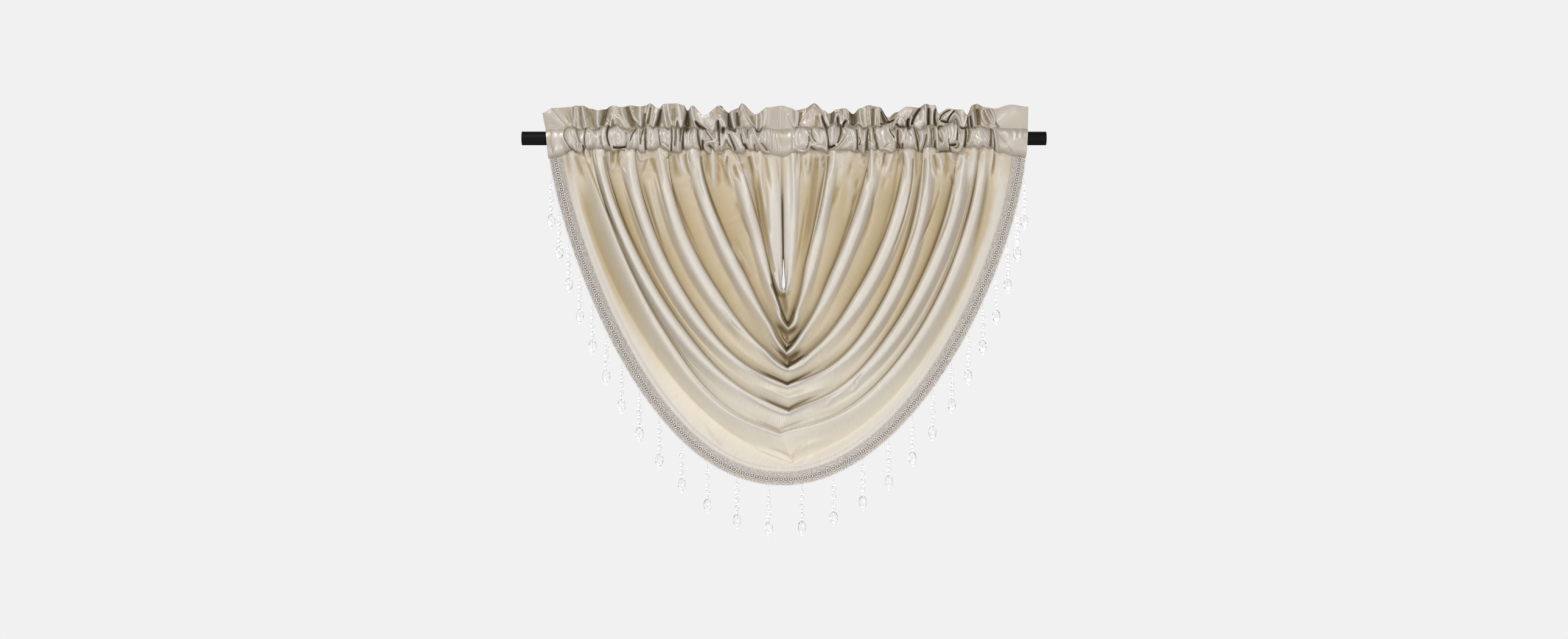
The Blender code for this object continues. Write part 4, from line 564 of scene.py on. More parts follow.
def soft_table(rows, x, column):
    """A table's column at x, eased from row to row."""
    table = np.array(rows, float)
    place = np.interp(x, table[:, 0], np.arange(len(table)))
    first = np.clip(np.floor(place).astype(int), 0, len(table) - 2)
    share = smooth(place - first)
    return table[first, column] * (1 - share) + table[first + 1, column] * share


def as_row(row):
    """A fold's row as a dictionary of its named columns."""
    return dict(zip(FOLD_COLUMNS, row))


def spline(points, steps):
    """A smooth run through rows of points, with this many steps from each row to the next."""
    points = np.asarray(points, float)
    before = np.concatenate([2 * points[:1] - points[1:2], points, 2 * points[-1:] - points[-2:-1]])
    runs = []
    for k in range(len(points) - 1):
        a, b, c, d = before[k:k + 4]
        for step in range(steps):
            s = step / steps
            runs.append(0.5 * (
                2 * b + (c - a) * s + (2 * a - 5 * b + 4 * c - d) * s ** 2
                + (3 * b - a - 3 * c + d) * s ** 3
            ))
    runs.append(points[-1])
    return np.array(runs)


def lengths(points, axis):
    """Distance travelled along one axis of a grid of points, from its first row."""
    steps = np.linalg.norm(np.diff(points, axis=axis), axis=-1)
    start = np.zeros_like(np.take(steps, [0], axis=axis))
    return np.concatenate([start, np.cumsum(steps, axis=axis)], axis=axis)


def grid_piece(name, grid, values, uv):
    """A mesh from a grid of points in millimetres, with named values and cloth coordinates."""
    rows, columns = grid.shape[:2]
    index = np.arange(rows * columns).reshape(rows, columns)
    a, b = index[:-1, :-1], index[:-1, 1:]
    d, c = index[1:, :-1], index[1:, 1:]
    faces = np.stack([a, b, c, d], axis=-1).reshape(-1, 4)
    mesh = bpy.data.meshes.new(name)
    mesh.from_pydata((grid.reshape(-1, 3) * MM).tolist(), [], faces.tolist())
    for key, value in values.items():
        layer = mesh.attributes.new(key, "FLOAT", "POINT")
        layer.data.foreach_set("value", np.asarray(value, np.float32).ravel())
    corners = np.empty(len(mesh.loops), np.int32)
    mesh.loops.foreach_get("vertex_index", corners)
    layer = mesh.uv_layers.new(name="cloth")
    layer.data.foreach_set("uv", (uv.reshape(-1, 2)[corners] * MM).astype(np.float32).ravel())
    mesh.shade_smooth()
    return linked(name, mesh)


def plain_piece(name, points, faces, smooth_shaded=True):
    """A mesh from loose arrays of points in millimetres and faces."""
    mesh = bpy.data.meshes.new(name)
    mesh.from_pydata((np.asarray(points, float) * MM).tolist(), [], np.asarray(faces).tolist())
    if smooth_shaded:
        mesh.shade_smooth()
    return linked(name, mesh)


def linked(name, data):
    """A new object for a mesh, a light or a camera, in the scene."""
    obj = bpy.data.objects.new(name, data)
    bpy.context.scene.collection.objects.link(obj)
    return obj


# ------------------------------------------------------------------- curves of the folds

# The solid headings' sections: each end has its own count of them, fewer if it is narrow, and each
# puff has them at these shares of its width.
FIRST_END = (25.0, 5)  # if it is wider than this, it has so many sections
LAST_END = (40.0, 6)
NARROW_END_SECTIONS = 3
PUFF_SHARES = (0.0, 0.28, 0.72)
LEAN_REACH = 40.0  # the outer end's lean is gone this far from it


def end_sections(start, stop, end):
    """Evenly spaced sections over one end of a solid heading."""
    return np.linspace(start, stop, end[1] if stop - start > end[0] else NARROW_END_SECTIONS)


def heading_places(creases, ends):
    """Sections along a solid heading: its ends, every crease, and two on each puff."""
    places = list(end_sections(ends[0], creases[0][0], FIRST_END)[:-1])
    for left, right in zip(creases[:-1], creases[1:]):
        places += [left[0] + share * (right[0] - left[0]) for share in PUFF_SHARES]
    return places + list(end_sections(creases[-1][0], ends[1], LAST_END))


def end_share(x, ends):
    """1 at the heading's outer end, falling to 0 over the reach of its lean."""
    outer = max(ends, key=abs)
    return np.maximum(0.0, 1.0 - np.abs(x - outer) / LEAN_REACH)


def seam_place(x, creases, ends, lean):
    """Where the section that crosses the header stitching at x meets the seam."""
    from_x = [ends[0], *[row[0] for row in creases], ends[1]]
    to_x = [ends[0], *[row[1] for row in creases], ends[1]]
    return np.interp(x, from_x, to_x) + lean[1] * end_share(x, ends)


def seam_height(x):
    """The height of the headings' lower edge, straight between their sections."""
    places = []
    for creases, ends, lean in (
        (LEFT_CREASES, LEFT_HEADING, LEFT_LEAN),
        (RIGHT_CREASES, RIGHT_HEADING, RIGHT_LEAN),
    ):
        sections = np.array(heading_places(creases, ends))
        places += list(seam_place(sections, creases, ends, lean))
    return np.interp(x, places, soft_table(SEAM, np.array(places), 1))


def sweep(top, bottom, belly, round_, notch):
    """One side of a fold as a dense line from its lowest point to the seam."""
    share = np.sin(np.linspace(0.0, 1.0, SWEEP_POINTS) * math.pi / 2)
    width = np.maximum(1.0 - share ** belly, 0.0) ** (1.0 / round_)
    x = bottom[0] + (top[0] - bottom[0]) * width
    rise = width / NOTCH_REACH
    z = top[1] + (bottom[1] - top[1]) * share + notch * rise * np.exp(1.0 - rise)
    return np.stack([x, z], 1)[::-1]


def travelled(line):
    """The distance along a line in the plane, at each of its points."""
    return np.concatenate([[0.0], np.cumsum(np.hypot(*np.diff(line, axis=0).T))])


def along(line, stations):
    """Points at these shares of a line's length."""
    length = travelled(line)
    share = length / length[-1]
    return np.stack([np.interp(stations, share, line[:, k]) for k in (0, 1)], 1)


def whole_line(row):
    """A fold's two sides as dense lines from its lowest point to the seam."""
    bottom = (row["v_x"], row["v_z"])
    sides = []
    for side in ("left", "right"):
        top_x = row[side + "_x"]
        top = (top_x, float(seam_height(top_x)) - SEAM_GAP)
        belly, round_ = row[side + "_belly"], row[side + "_round"]
        sides.append(sweep(top, bottom, belly, round_, row["notch"]))
    return sides


def fanned(row, stations):
    """Shares of a fold's length, measured from its lowest point, for these stations."""
    reach = np.abs(stations)
    return reach + row["lead"] * (1.0 - np.exp(-reach / row["over"])) * (1.0 - reach)


def fold_line(row, stations):
    """Points of a fold: stations run from -1 at the left end to 1 at the right end."""
    left, right = whole_line(row)
    shares = fanned(row, stations)
    points = np.empty((len(stations), 2))
    for line, chosen in ((left, stations < 0), (right, stations >= 0)):
        points[chosen] = along(line, shares[chosen])
    return points


def slit_depth(stations):
    """How far down the slit each station of its cut edge lies: 0 at the seam and 1 at its foot."""
    return 1.0 - np.abs(stations) ** SLIT_CROWDING


def slit_line(stations):
    """The cut edge: down the left side of the slit and up the right side."""
    top = float(seam_height(SLIT_TOP_X)) - SEAM_GAP
    depth = slit_depth(stations)
    table = np.array(SLIT)
    half = np.interp(depth, table[:, 0], table[:, 1])
    centre = SLIT_TOP_X + (SLIT_BOTTOM_X - SLIT_TOP_X) * depth
    z = top + (SLIT_BOTTOM - top) * depth
    return np.stack([centre + np.sign(stations) * half, z], 1)


def shifted(line, distance):
    """A line moved towards the inside of its curve, by its own normals."""
    ahead = np.gradient(line, axis=0)
    ahead /= np.hypot(*ahead.T)[:, None]
    return line + distance * np.stack([-ahead[:, 1], ahead[:, 0]], 1)


def hem_line(stations, inset):
    """The hem's line, moved inward by inset."""
    hem = as_row(HEM)
    left, right = whole_line(hem)
    whole = np.concatenate([left[::-1], right[1:]])
    moved = shifted(whole, inset)
    steps = travelled(whole)
    middle = steps[len(left) - 1]
    shares = fanned(hem, stations)
    wanted = np.where(
        stations < 0, middle * (1 - shares), middle + (steps[-1] - middle) * shares
    )
    return np.stack([np.interp(wanted, steps, moved[:, k]) for k in (0, 1)], 1)


# --------------------------------------------------------------------- gathers at the rod

PUFF_ROUND = 0.6  # how round a puff is across: less is fuller
SEAM_FORWARD = 2.0  # the seam lies this far in front of the rod's axis
PUFF_AT_SEAM = 0.5  # the share of a puff's height that is left at the seam


def puff(x, creases):
    """How far the pocket's puffs stand out at x along the seam."""
    depth = np.zeros(np.shape(x))
    for (_, start, high), (_, stop, _) in zip(creases, creases[1:]):
        share = np.clip((x - start) / (stop - start), 0.0, 1.0)
        depth = np.maximum(depth, high * np.sin(math.pi * share) ** PUFF_ROUND)
    return depth


def seam_depth(x):
    """How far the cloth at the seam lies from the rod's axis plane: less is nearer the viewer."""
    both = np.maximum(puff(x, LEFT_CREASES), puff(x, RIGHT_CREASES))
    return -SEAM_FORWARD - PUFF_AT_SEAM * both


# ------------------------------------------------------------------------------ the panel

# How the sheet's rows change from the sides, where the folds are plain rolls, to the middle.
EVEN_SHARE = 0.30  # of the columns' spacing; the rest crowds at the middle and at the seam
MIDDLE_REACH = 0.30  # the rows have their shape at the V out to this share of a fold
POCKET_REACH = 0.22  # and their pocket out to this one
WIDEST_ROLL = 0.34  # of the gap between two folds
LOW_FLATTENS = 0.5  # the lips of the lowest folds lose this share of their height
FLATTENING = (2.0, 5.0)  # from this fold to this one, counted from the lip
LOW_PALER = 0.6  # and their pockets get this much more painted sheen and less painted shade
PALING = (2.5, 5.0)
LAST_SHEEN = 0.35  # the cloth between the last two folds has this much more painted sheen

# How the sheet comes out from under the headings.
END_FORWARD = 3.0  # a row's ends hang this far in front of the rod's axis
HEM_FORWARD = 9.5  # and the middle of the hem this far
CLOTH_OUT = 42.0  # the cloth hangs free of the seam this far below it
SEAM_LAP = 0.8  # its upper edge lies this far in front of the seam
SEAM_HIGH = 0.16  # the share of a roll's height that is left at the seam
# the share of painted sheen that the cloth has at the seam
SEAM_SHEEN = 0.5
ALLOWANCE = ((0.5, 5.0), (0.8, 9.0))  # the cloth inside the headings: behind its edge, above it

# What the small folds do to the cloth: first those under the seam, then those at the middle.
CREVICE_DEPTH = (0.9, 0.5)  # the share of a crevice's depth that is modelled
SHEEN_DEPTH = (7.0, 5.0)  # so many millimetres of a ridge give the cloth full painted sheen, and of a crevice none
SHADE_DEPTH = (6.0, 7.0)  # and so many of a crevice give it full painted shade
UNSHADED = 1.0  # but the first millimetre of a crevice under the seam doesn't
SEAM_ROOTED = SEAM_PIXEL + 14  # strokes that start above this height don't fade there
ALL_ROOTED = 1e4  # a height below the whole picture, so that no stroke fades at its start


def panel_stations():
    """Stations along the folds, closer together at the middle and at the seam."""
    even = np.linspace(0.0, 1.0, PANEL_COLUMNS + 1)
    crowded = 0.5 - 0.5 * np.cos(math.pi * even)
    half = EVEN_SHARE * even + (1.0 - EVEN_SHARE) * crowded
    return np.concatenate([-half[:0:-1], half])


# One fold's rows from its crest to the next crest, at the sides and at the V. place is a multiple
# of the roll's half width from the first or second crest, or a share of the way at the V, and
# height is a share of that crest's height. The row from neither crest lies halfway between its
# neighbours. The sheen and shade columns are painted sheen and painted shade on the cloth.
GUIDES = (
    # side: from, place, height; v: place, height, deep; side painted sheen, painted shade; v painted
    # sheen, painted shade
    (1, 0.00, 1.00, 0.00, 1.00, 0.0, 1.00, 0.00, 1.00, 0.00),
    (1, 0.55, 0.88, 0.07, 0.95, 0.0, 0.95, 0.00, 0.70, 0.00),
    (1, 1.02, 0.50, 0.22, 0.70, 0.0, 0.62, 0.00, 0.30, 0.00),
    (1, 1.50, 0.16, 0.42, 0.42, 0.0, 0.34, 0.03, 0.16, 0.00),
    (0, 0.50, 0.12, 0.60, 0.18, 0.2, 0.16, 0.10, 0.10, 0.05),
    (2, 1.35, 0.06, 0.75, 0.00, 0.6, 0.02, 0.30, 0.05, 0.20),
    (2, 0.70, -0.02, 0.88, 0.00, 1.1, 0.00, 0.80, 0.00, 0.70),
    (2, 0.98, 0.42, 0.915, 0.30, 0.3, 0.45, 0.32, 0.30, 0.40),
    (2, 0.62, 0.87, 0.955, 0.82, 0.0, 0.95, 0.00, 0.90, 0.00),
)

# The rows between the slit's cut edge and the first lip. deeper is how much lower a row stands
# where the edge is turned in, and rim how much higher at the slit's foot.
SLIT_ROWS = (
    # share of the way, height, deeper, rim, painted sheen, painted shade
    (0.00, -3.0, 10.0, -6.0, 0.6, 0.5),
    (0.06, -1.0, 6.0, -4.5, 0.7, 0.2),
    (0.16, 3.0, 1.0, 1.5, 0.9, 0.0),
    (0.30, 5.5, 0.0, -3.0, 0.9, 0.0),
    (0.62, 7.6, 0.0, -3.0, 1.0, 0.0),
)
SLIT_FORWARD = 7.5
SLIT_RIM = 0.1  # rows nearer to the cut edge than this share of the way are its turned rim
SLIT_TURNING = (0.25, 0.05)  # shares of its depth over which the edges turn in and out again
SLIT_FOOT = 0.10  # and over which its foot opens
SLIT_UNLAPPED = 0.06  # and over which the overlap ends
TURNED_DARK = 0.5  # how much the rim is shaded where it is turned in
FOOT_DARK = 0.8  # and at the slit's foot

# The rows from the last fold to the valley, from there to the swell, and over the hem.
VALLEY_ROWS = (
    # share of the way, share of the last fold's height, height, forward, painted sheen
    (0.0, 1.00, 0.0, 16.0, 0.75),
    (0.2, 0.86, 0.0, 15.5, 0.70),
    (0.5, 0.40, 0.0, 14.5, 0.42),
    (0.8, 0.00, 0.5, 13.0, 0.18),
    (1.0, 0.00, -1.2, 12.0, 0.12),
)
SWELL_ROWS = (
    # share of the way, height, forward, painted sheen
    (0.30, -0.6, 11.7, 0.20),
    (0.65, 0.9, 11.0, 0.60),
    (1.00, 1.8, 10.5, 0.92),
)
HEM_ROWS = (
    # distance from the hem, height
    (31.0, 1.8), (BRAID_WIDTH, 1.4), (14.0, 1.0), (HEM_INSET, 1.0),
)
RIGHT_PALER = 0.22  # the right half's lower cloth has this much more painted sheen
RIGHT_PALER_OUT = 0.5  # fully so from this share of its length outward

# Slow waves along each fold that make its roll fuller here and thinner there.
UNEVEN = (
    # share of the roll's height, radians along half a fold, shift from fold to fold
    (0.09, 7.0, 1.9), (0.06, 15.0, 4.3), (0.03, 31.0, 2.7),
)


def fold_guides(lines, folds, stations):
    """The guide rows between every fold and the next: (line, height, forward, painted sheen, painted
    shade).
    """
    middle = 1.0 - smooth(np.abs(stations) / MIDDLE_REACH)
    pocket = 1.0 - smooth(np.abs(stations) / POCKET_REACH)
    side = 1.0 - middle
    rows = []
    for k in range(len(folds) - 1):
        one, two = folds[k], folds[k + 1]
        measured_from = (one, one, two)
        gap = np.maximum(np.hypot(*(lines[k + 1] - lines[k]).T), 1.0)
        wide = [np.minimum(fold["wide"] / gap, WIDEST_ROLL) for fold in measured_from]
        v_share_kept = V_SHARE * (1.0 - LOW_FLATTENS * eased(k, *FLATTENING))
        pale = LOW_PALER * eased(k, *PALING)
        for n, guide in enumerate(GUIDES):
            crest, place, share, v_place, v_share, v_deep, silver, shade, v_silver, v_shade = guide
            if crest == 0:
                spot = 0.5 * (GUIDES[n - 1][1] * wide[1] + 1 - GUIDES[n + 1][1] * wide[2])
            else:
                spot = place * wide[1] if crest == 1 else 1 - place * wide[2]
            level = share * measured_from[crest]["high"]
            v_level = v_share * measured_from[crest]["v_high"] - v_deep * two["v_deep"] * pocket
            v_level = v_share_kept * v_level
            # the lowest folds' pockets get more painted sheen and less painted shade, and the last gap
            # more painted sheen
            v_silver = v_silver + (1 - v_silver) * pale
            v_shade = v_shade * (1 - pale)
            if k == len(folds) - 2:
                silver = silver + LAST_SHEEN * (1 - silver)
            spot = spot * side + v_place * middle
            rows.append((
                lines[k] + (lines[k + 1] - lines[k]) * spot[:, None],
                level * side + v_level * middle,
                one["forward"] + (two["forward"] - one["forward"]) * n / len(GUIDES),
                silver * side + v_silver * middle,
                shade * side + v_shade * middle,
            ))
    return rows


def slit_guides(lip, stations):
    """The guide rows from the slit's cut edge, which is turned in and lapped, to the first lip."""
    slit = slit_line(stations)
    depth = slit_depth(stations)
    first, last = SLIT_TURNED
    turned = smooth((depth - first) / SLIT_TURNING[0]) * smooth((last - depth) / SLIT_TURNING[1])
    foot = smooth((depth - last) / SLIT_FOOT)
    behind = SLIT_OVERLAP * (stations < 0) * smooth((last - depth) / SLIT_UNLAPPED)
    dark = TURNED_DARK * turned + FOOT_DARK * foot * (1 - turned)
    rows = []
    for share, height, deeper, rim, silver, shade in SLIT_ROWS:
        at_rim = share < SLIT_RIM
        rows.append((
            slit + (lip - slit) * share,
            height - deeper * turned + rim * foot - behind * at_rim,
            SLIT_FORWARD, silver - dark * at_rim, shade + dark * at_rim,
        ))
    return rows


def panel_guides(stations):
    """Every guide row of the cloth, from the slit to the hem."""
    folds = [as_row(row) for row in FOLDS]
    lines = [fold_line(row, stations) for row in folds]
    flat = np.zeros_like(stations)
    rows = slit_guides(lines[0], stations) + fold_guides(lines, folds, stations)
    low = fold_line(as_row(VALLEY), stations)
    swell = hem_line(stations, PANEL_SWELL_IN)
    # painted sheen, more of it on the right half's lower cloth
    paler = RIGHT_PALER * eased(stations, 0.0, RIGHT_PALER_OUT)
    for share, of_fold, height, forward, silver in VALLEY_ROWS:
        line = lines[-1] + (low - lines[-1]) * share
        height = height + of_fold * folds[-1]["high"]
        rows.append((line, height + flat, forward, silver + paler, flat))
    for share, height, forward, silver in SWELL_ROWS:
        line = low + (swell - low) * share
        rows.append((line, height + flat, forward, silver + paler, flat))
    for inset, height in HEM_ROWS:
        # the hem's rows have full painted sheen
        rows.append((hem_line(stations, inset), height + flat, HEM_FORWARD, 1.0 + flat, flat))
    return rows


def uneven(stations, fold):
    """How much fuller the roll of this fold is than its plain shape, as a share of its height."""
    return sum(high * np.sin(along_it * stations + shift * fold) for high, along_it, shift in UNEVEN)


def hanging(forward, stations):
    """The depth of a row that hangs forward at its middle and less towards its ends."""
    return -END_FORWARD - (forward - END_FORWARD) * (1.0 - np.abs(stations) ** 2.0)


def guide_grid(stations):
    """The guide rows as points, with their painted sheen and painted shade."""
    points, silvers, shades = [], [], []
    for n, (line, height, forward, silver, shade) in enumerate(panel_guides(stations)):
        x, z = line[:, 0], line[:, 1].copy()
        ends = line[[0, -1], 0]
        tops = seam_height(ends) - SEAM_GAP
        z[0], z[-1] = tops
        top = np.where(stations < 0, tops[0], tops[1])
        end = np.where(stations < 0, *seam_depth(ends)) - SEAM_LAP
        below = smooth((top - z) / CLOTH_OUT)
        grown = smooth((top - z) / GROWING)
        kept = SEAM_HIGH + (1.0 - SEAM_HIGH) * grown
        height = height * (1.0 + uneven(stations, n // len(GUIDES)))
        y = end * (1 - below) + hanging(forward, stations) * below - height * kept
        points.append(np.stack([x, y, z], 1))
        silvers.append(silver * grown + SEAM_SHEEN * (1 - grown))
        shades.append(shade)
    return np.array(points), np.array(silvers), np.array(shades)


def both_arms(rows):
    """The two strokes of each V: its left arm and its right one."""
    return tuple(
        (x, y, *arm, w1, w3, height)
        for x, y, *arms, w1, w3, height in rows
        for arm in (arms[:4], arms[4:])
    )


def creased(grid, silver, shade):
    """The cloth with its smaller folds, and the painted sheen and shade that they give it."""
    x, z = grid[..., 0], grid[..., 2]
    moved = grid.copy()
    for strokes, rooted, unshaded, depth, silver_depth, shade_depth in zip(
        (PANEL_FOLDS, MIDDLE_FOLDS + both_arms(V_FOLDS)), (SEAM_ROOTED, ALL_ROOTED), (UNSHADED, 0.0),
        CREVICE_DEPTH, SHEEN_DEPTH, SHADE_DEPTH,
    ):
        raised, cut = folded(x, z, strokes, rooted)
        moved[..., 1] += depth * cut - raised
        # ridges add painted sheen, and crevices take it away and add painted shade
        silver = silver + (raised - cut) / silver_depth
        shade = shade + np.maximum(cut - unshaded, 0.0) / shade_depth
    return moved, np.clip(silver, 0, 1), np.clip(shade, 0, 1)


def tucked(grid):
    """The cloth with its seam allowance, which runs up inside the headings at both ends of a row."""
    left, right = (
        np.stack([grid[:, k] + np.array([0.0, back, up]) for back, up in ALLOWANCE], axis=1)
        for k in (0, -1)
    )
    return np.concatenate([left[:, ::-1], grid, right], axis=1)


def build_panel():
    """The folded cloth, with painted sheen on its crests and painted shade in its hollows."""
    stations = panel_stations()
    grid, silver, shade = creased(*(spline(rows, ROWS_PER_GUIDE) for rows in guide_grid(stations)))
    grid = tucked(grid)
    added = (0, 0), (len(ALLOWANCE), len(ALLOWANCE))
    silver, shade = (np.pad(tint, added, "edge") for tint in (silver, shade))
    run = lengths(grid, 1)
    run -= run[:, grid.shape[1] // 2][:, None]
    uv = np.stack([run, lengths(grid, 0)], axis=-1)
    return grid_piece("panel_cloth", grid, {"silver": silver, "shade": shade}, uv)


# ------------------------------------------------------------------------------ headings

# The pocket's section, from the header stitching down its front to the seam.
FRONT_SECTION = (
    (-2.4, 17.0), (-9.6, 14.6), (-14.8, 8.0), (-17.2, -2.0), (-16.4, -12.0), (-12.4, -20.0),
    (-6.0, -25.2),
)
BACK_SECTION = ((2.4, -24.0), (8.2, -21.0), (14.6, -10.0), (16.4, 2.0), (11.4, 12.0), (2.6, 17.0))
SECTION_STEPS = 12  # from one of their points to the next, when they are measured
RUFFLE_THICK = 2.2  # the ruffle's two layers together
EDGE_FORWARD = 1.6  # the headings' lower edge hangs in front of the seam by this much
ROD_CLEAR = 13.3  # from the rod's axis to the nearest cloth
POCKET_FORWARD = 1.6  # the pocket's front stays at least this far in front of the rod's axis
BACK_LOW = 3.0  # the back's lower edge moves this far behind the seam
BACK_TOP = -3.5  # nothing of the ruffle's back lies nearer to the viewer
PLAIN_RAISED = 2.6  # the plain cloth at the ends gets painted sheen as if it stood out this far
BACK_RAISED = 3.0  # and the back as if it stood out this far
LAP = 1.3  # each heading's inner end reaches this much further, so that the two lap
LAP_REACH = 12.0  # the part of it that moves for this
END_LAP = 0.9  # how far outside the left heading's inner end the right one's passes

# Strokes: how wide and how long the folds, puffs and crevices are.
STROKE_PIECES = 12  # straight pieces of a stroke's curve
RIDGE_REACH = 3.4  # half widths from its middle to where a ridge ends
CREVICE_REACH = 2.4
CREVICE_SHARP = 1.7  # how steep the sides of a crevice are
ROOTED_SHARP = 1.0  # and of one that fades at its ends
ROOTED_WIDTH = 1.3  # the least half width of a stroke that fades at its ends
START_FADE = 0.30  # the share of its length over which it fades
END_FADE = 0.45

# The headings' gathered cloth, in millimetres: its small gathers and crumples, and how it lies.
GATHERED_OUT = 6.0  # the gathers begin this far outside the outermost creases
GATHERED_EASE = 12.0  # and reach their full height this much further in
RUFFLE_LEAN = 0.9  # the share of the ruffle table's lean that is modelled
RUFFLE_FOOT = 1.6  # the ruffle's foot stands this far in front of its top
PLAIN_FULL = 1.6  # the pocket is this much fuller where it is plain
RUFFLE_CREVICES = 0.75  # the share of a crevice's depth that is modelled on the ruffle
POCKET_CREVICES = 0.6  # and on the pocket
GATHER_PITCH = 6.3
WIDE_PITCH = 11.5  # of the wide crumples
FINE_PITCH = 5.6
FINE_SHARE = 0.34  # the fine crumples' height, as a share of the wide ones'
CRUMPLE_SHARP = 1.4
GATHER_HIGH = 0.9
CRUMPLE_HIGH = 0.15
RUFFLE_CRUSHED = 1.1
POCKET_CRUSHED = 1.3
CRUSHED_TINT = 1.8  # a crumple gets painted sheen as if it stood out this much more
HEADING_DULL = 7.0  # a crevice so deep has no painted sheen at all
HEADING_SHADE = 9.0  # and one so deep has full painted shade

# Where the cloth is drawn flat at the stitching and at the lower edge: how near to the line, and
# the shares of its ridges and crumples that it loses there.
RUFFLE_PINCH = (2.6, 0.75, 0.7)
POCKET_PINCH = (2.0, 0.8, 0.7)
POCKET_HEM = (2.4, 0.7, 0.6)
CREVICES_LOST = 0.5  # the share of the crevices that the ruffle loses at the stitching


def on_photo(table, x):
    """A line given in photo pixels, as heights in millimetres at x."""
    rows = np.array(table, float)
    pixel = MIDDLE_PIXEL[0] + x / PIXEL
    return (MIDDLE_PIXEL[1] - np.interp(pixel, rows[:, 0], rows[:, 1])) * PIXEL


def curve(first, middle, last):
    """One coordinate of a stroke: a curve through its three points, cut into straight pieces."""
    turns = np.linspace(0.0, 1.0, STROKE_PIECES + 1)
    control = 2 * middle - 0.5 * (first + last)
    return (1 - turns) ** 2 * first + 2 * turns * (1 - turns) * control + turns ** 2 * last


def nearest(x, y, line_x, line_y):
    """How far these places lie from a line, and the share of its length at the nearest point."""
    best, spot = np.full(x.shape, np.inf), np.zeros(x.shape)
    pieces = len(line_x) - 1
    for k in range(pieces):
        dx, dy = line_x[k + 1] - line_x[k], line_y[k + 1] - line_y[k]
        share = np.clip(((x - line_x[k]) * dx + (y - line_y[k]) * dy) / (dx * dx + dy * dy), 0, 1)
        away = np.hypot(x - line_x[k] - share * dx, y - line_y[k] - share * dy)
        spot = np.where(away < best, (k + share) / pieces, spot)
        best = np.minimum(best, away)
    return best, spot


def within(values, reach, *corners):
    """Which values lie between the corners, or no more than the reach outside them."""
    return (values > min(corners) - reach) & (values < max(corners) + reach)


def folded(x, z, strokes, rooted=None):
    """How far the cloth's folds stand out at these places, and how deep its crevices are.

    With rooted, folds fade at their ends, but for a start above that height in pixels.
    """
    px, py = MIDDLE_PIXEL[0] + x / PIXEL, MIDDLE_PIXEL[1] - z / PIXEL
    raised, cut = np.zeros_like(px), np.zeros_like(px)
    for x1, y1, x2, y2, x3, y3, w1, w3, height in strokes:
        if rooted:
            w1, w3 = max(w1, ROOTED_WIDTH), max(w3, ROOTED_WIDTH)
        reach = (RIDGE_REACH if height > 0 else CREVICE_REACH) * max(w1, w3)
        near = within(px, reach, x1, x2, x3) & within(py, reach, y1, y2, y3)
        if not near.any():
            continue
        away, spot = nearest(px[near], py[near], curve(x1, x2, x3), curve(y1, y2, y3))
        across = (away / (w1 + (w3 - w1) * spot)) ** 2
        level = abs(height) * np.ones_like(spot)
        if rooted:
            level = level * smooth((1.0 - spot) / END_FADE)
            if y1 > rooted:
                level = level * smooth(spot / START_FADE)
        if height < 0:
            sharp = ROOTED_SHARP if rooted else CREVICE_SHARP
            cut[near] = np.maximum(cut[near], level * np.exp(-sharp * across))
        else:
            # A ridge is round on its crest and runs out gently, and where two meet they blend.
            bump = level * np.exp(1.35 * (1.0 - np.sqrt(1.0 + 1.1 * across)))
            bump = bump * smooth(1.6 - 0.14 * across)
            raised[near] = (raised[near] ** 4 + bump ** 4) ** 0.25
    return raised, cut


def gathers(x, seed):
    """Small uneven pleats along a stitched line, from -1 to 1."""
    turn = 2 * math.pi * x / GATHER_PITCH
    turn = turn + 1.6 * np.sin(x / 9.7 + seed) + 0.9 * np.sin(x / 4.1 + 2.1 * seed)
    return np.sin(turn) * (0.7 + 0.3 * np.sin(x / 14.0 + 3.0 * seed))


def crumpled(x, z):
    """Sharp little ridges of gathered satin, mostly upright, that come and go: 0 to about 1."""
    near = 0.5 + 0.5 * np.sin(x / 17.0 + 1.3) * np.sin(z / 10.0 + x / 23.0)
    wide = x / WIDE_PITCH + 0.42 * np.sin(z / 6.5 + x / 9.0) + 0.25 * np.sin(z / 12.0 - x / 31.0)
    fine = x / FINE_PITCH + 0.38 * np.sin(z / 4.2 - x / 7.0) + 0.3 * np.sin(x / 13.0)
    ridge, small = (
        (1.0 - np.abs(np.sin(math.pi * waves))) ** CRUMPLE_SHARP for waves in (wide, fine)
    )
    return (0.35 + 0.65 * near) * ridge + FINE_SHARE * (1.0 - 0.6 * near) * small


def resampled(points, count):
    """A smooth line through points, cut into evenly spaced ones."""
    dense = spline(points, SECTION_STEPS)
    run = lengths(dense, 0)
    wanted = np.linspace(0.0, run[-1], count)
    return np.stack([np.interp(wanted, run, dense[:, k]) for k in range(dense.shape[1])], 1)


def round_rod(y, z, way):
    """These depths, moved out of the rod towards the viewer (way -1) or the wall (way 1)."""
    surface = np.sqrt(np.maximum(ROD_CLEAR ** 2 - z ** 2, 0.0))
    return np.where(np.abs(z) < ROD_CLEAR, way * np.maximum(way * y, surface), y)


def drawn_flat(distance, pinch):
    """How near the places are to a pinched line, and what is left there of ridges and crumples."""
    reach, ridges, crumples = pinch
    near = np.exp(-((distance / reach) ** 2))
    return near, 1 - ridges * near, 1 - crumples * near


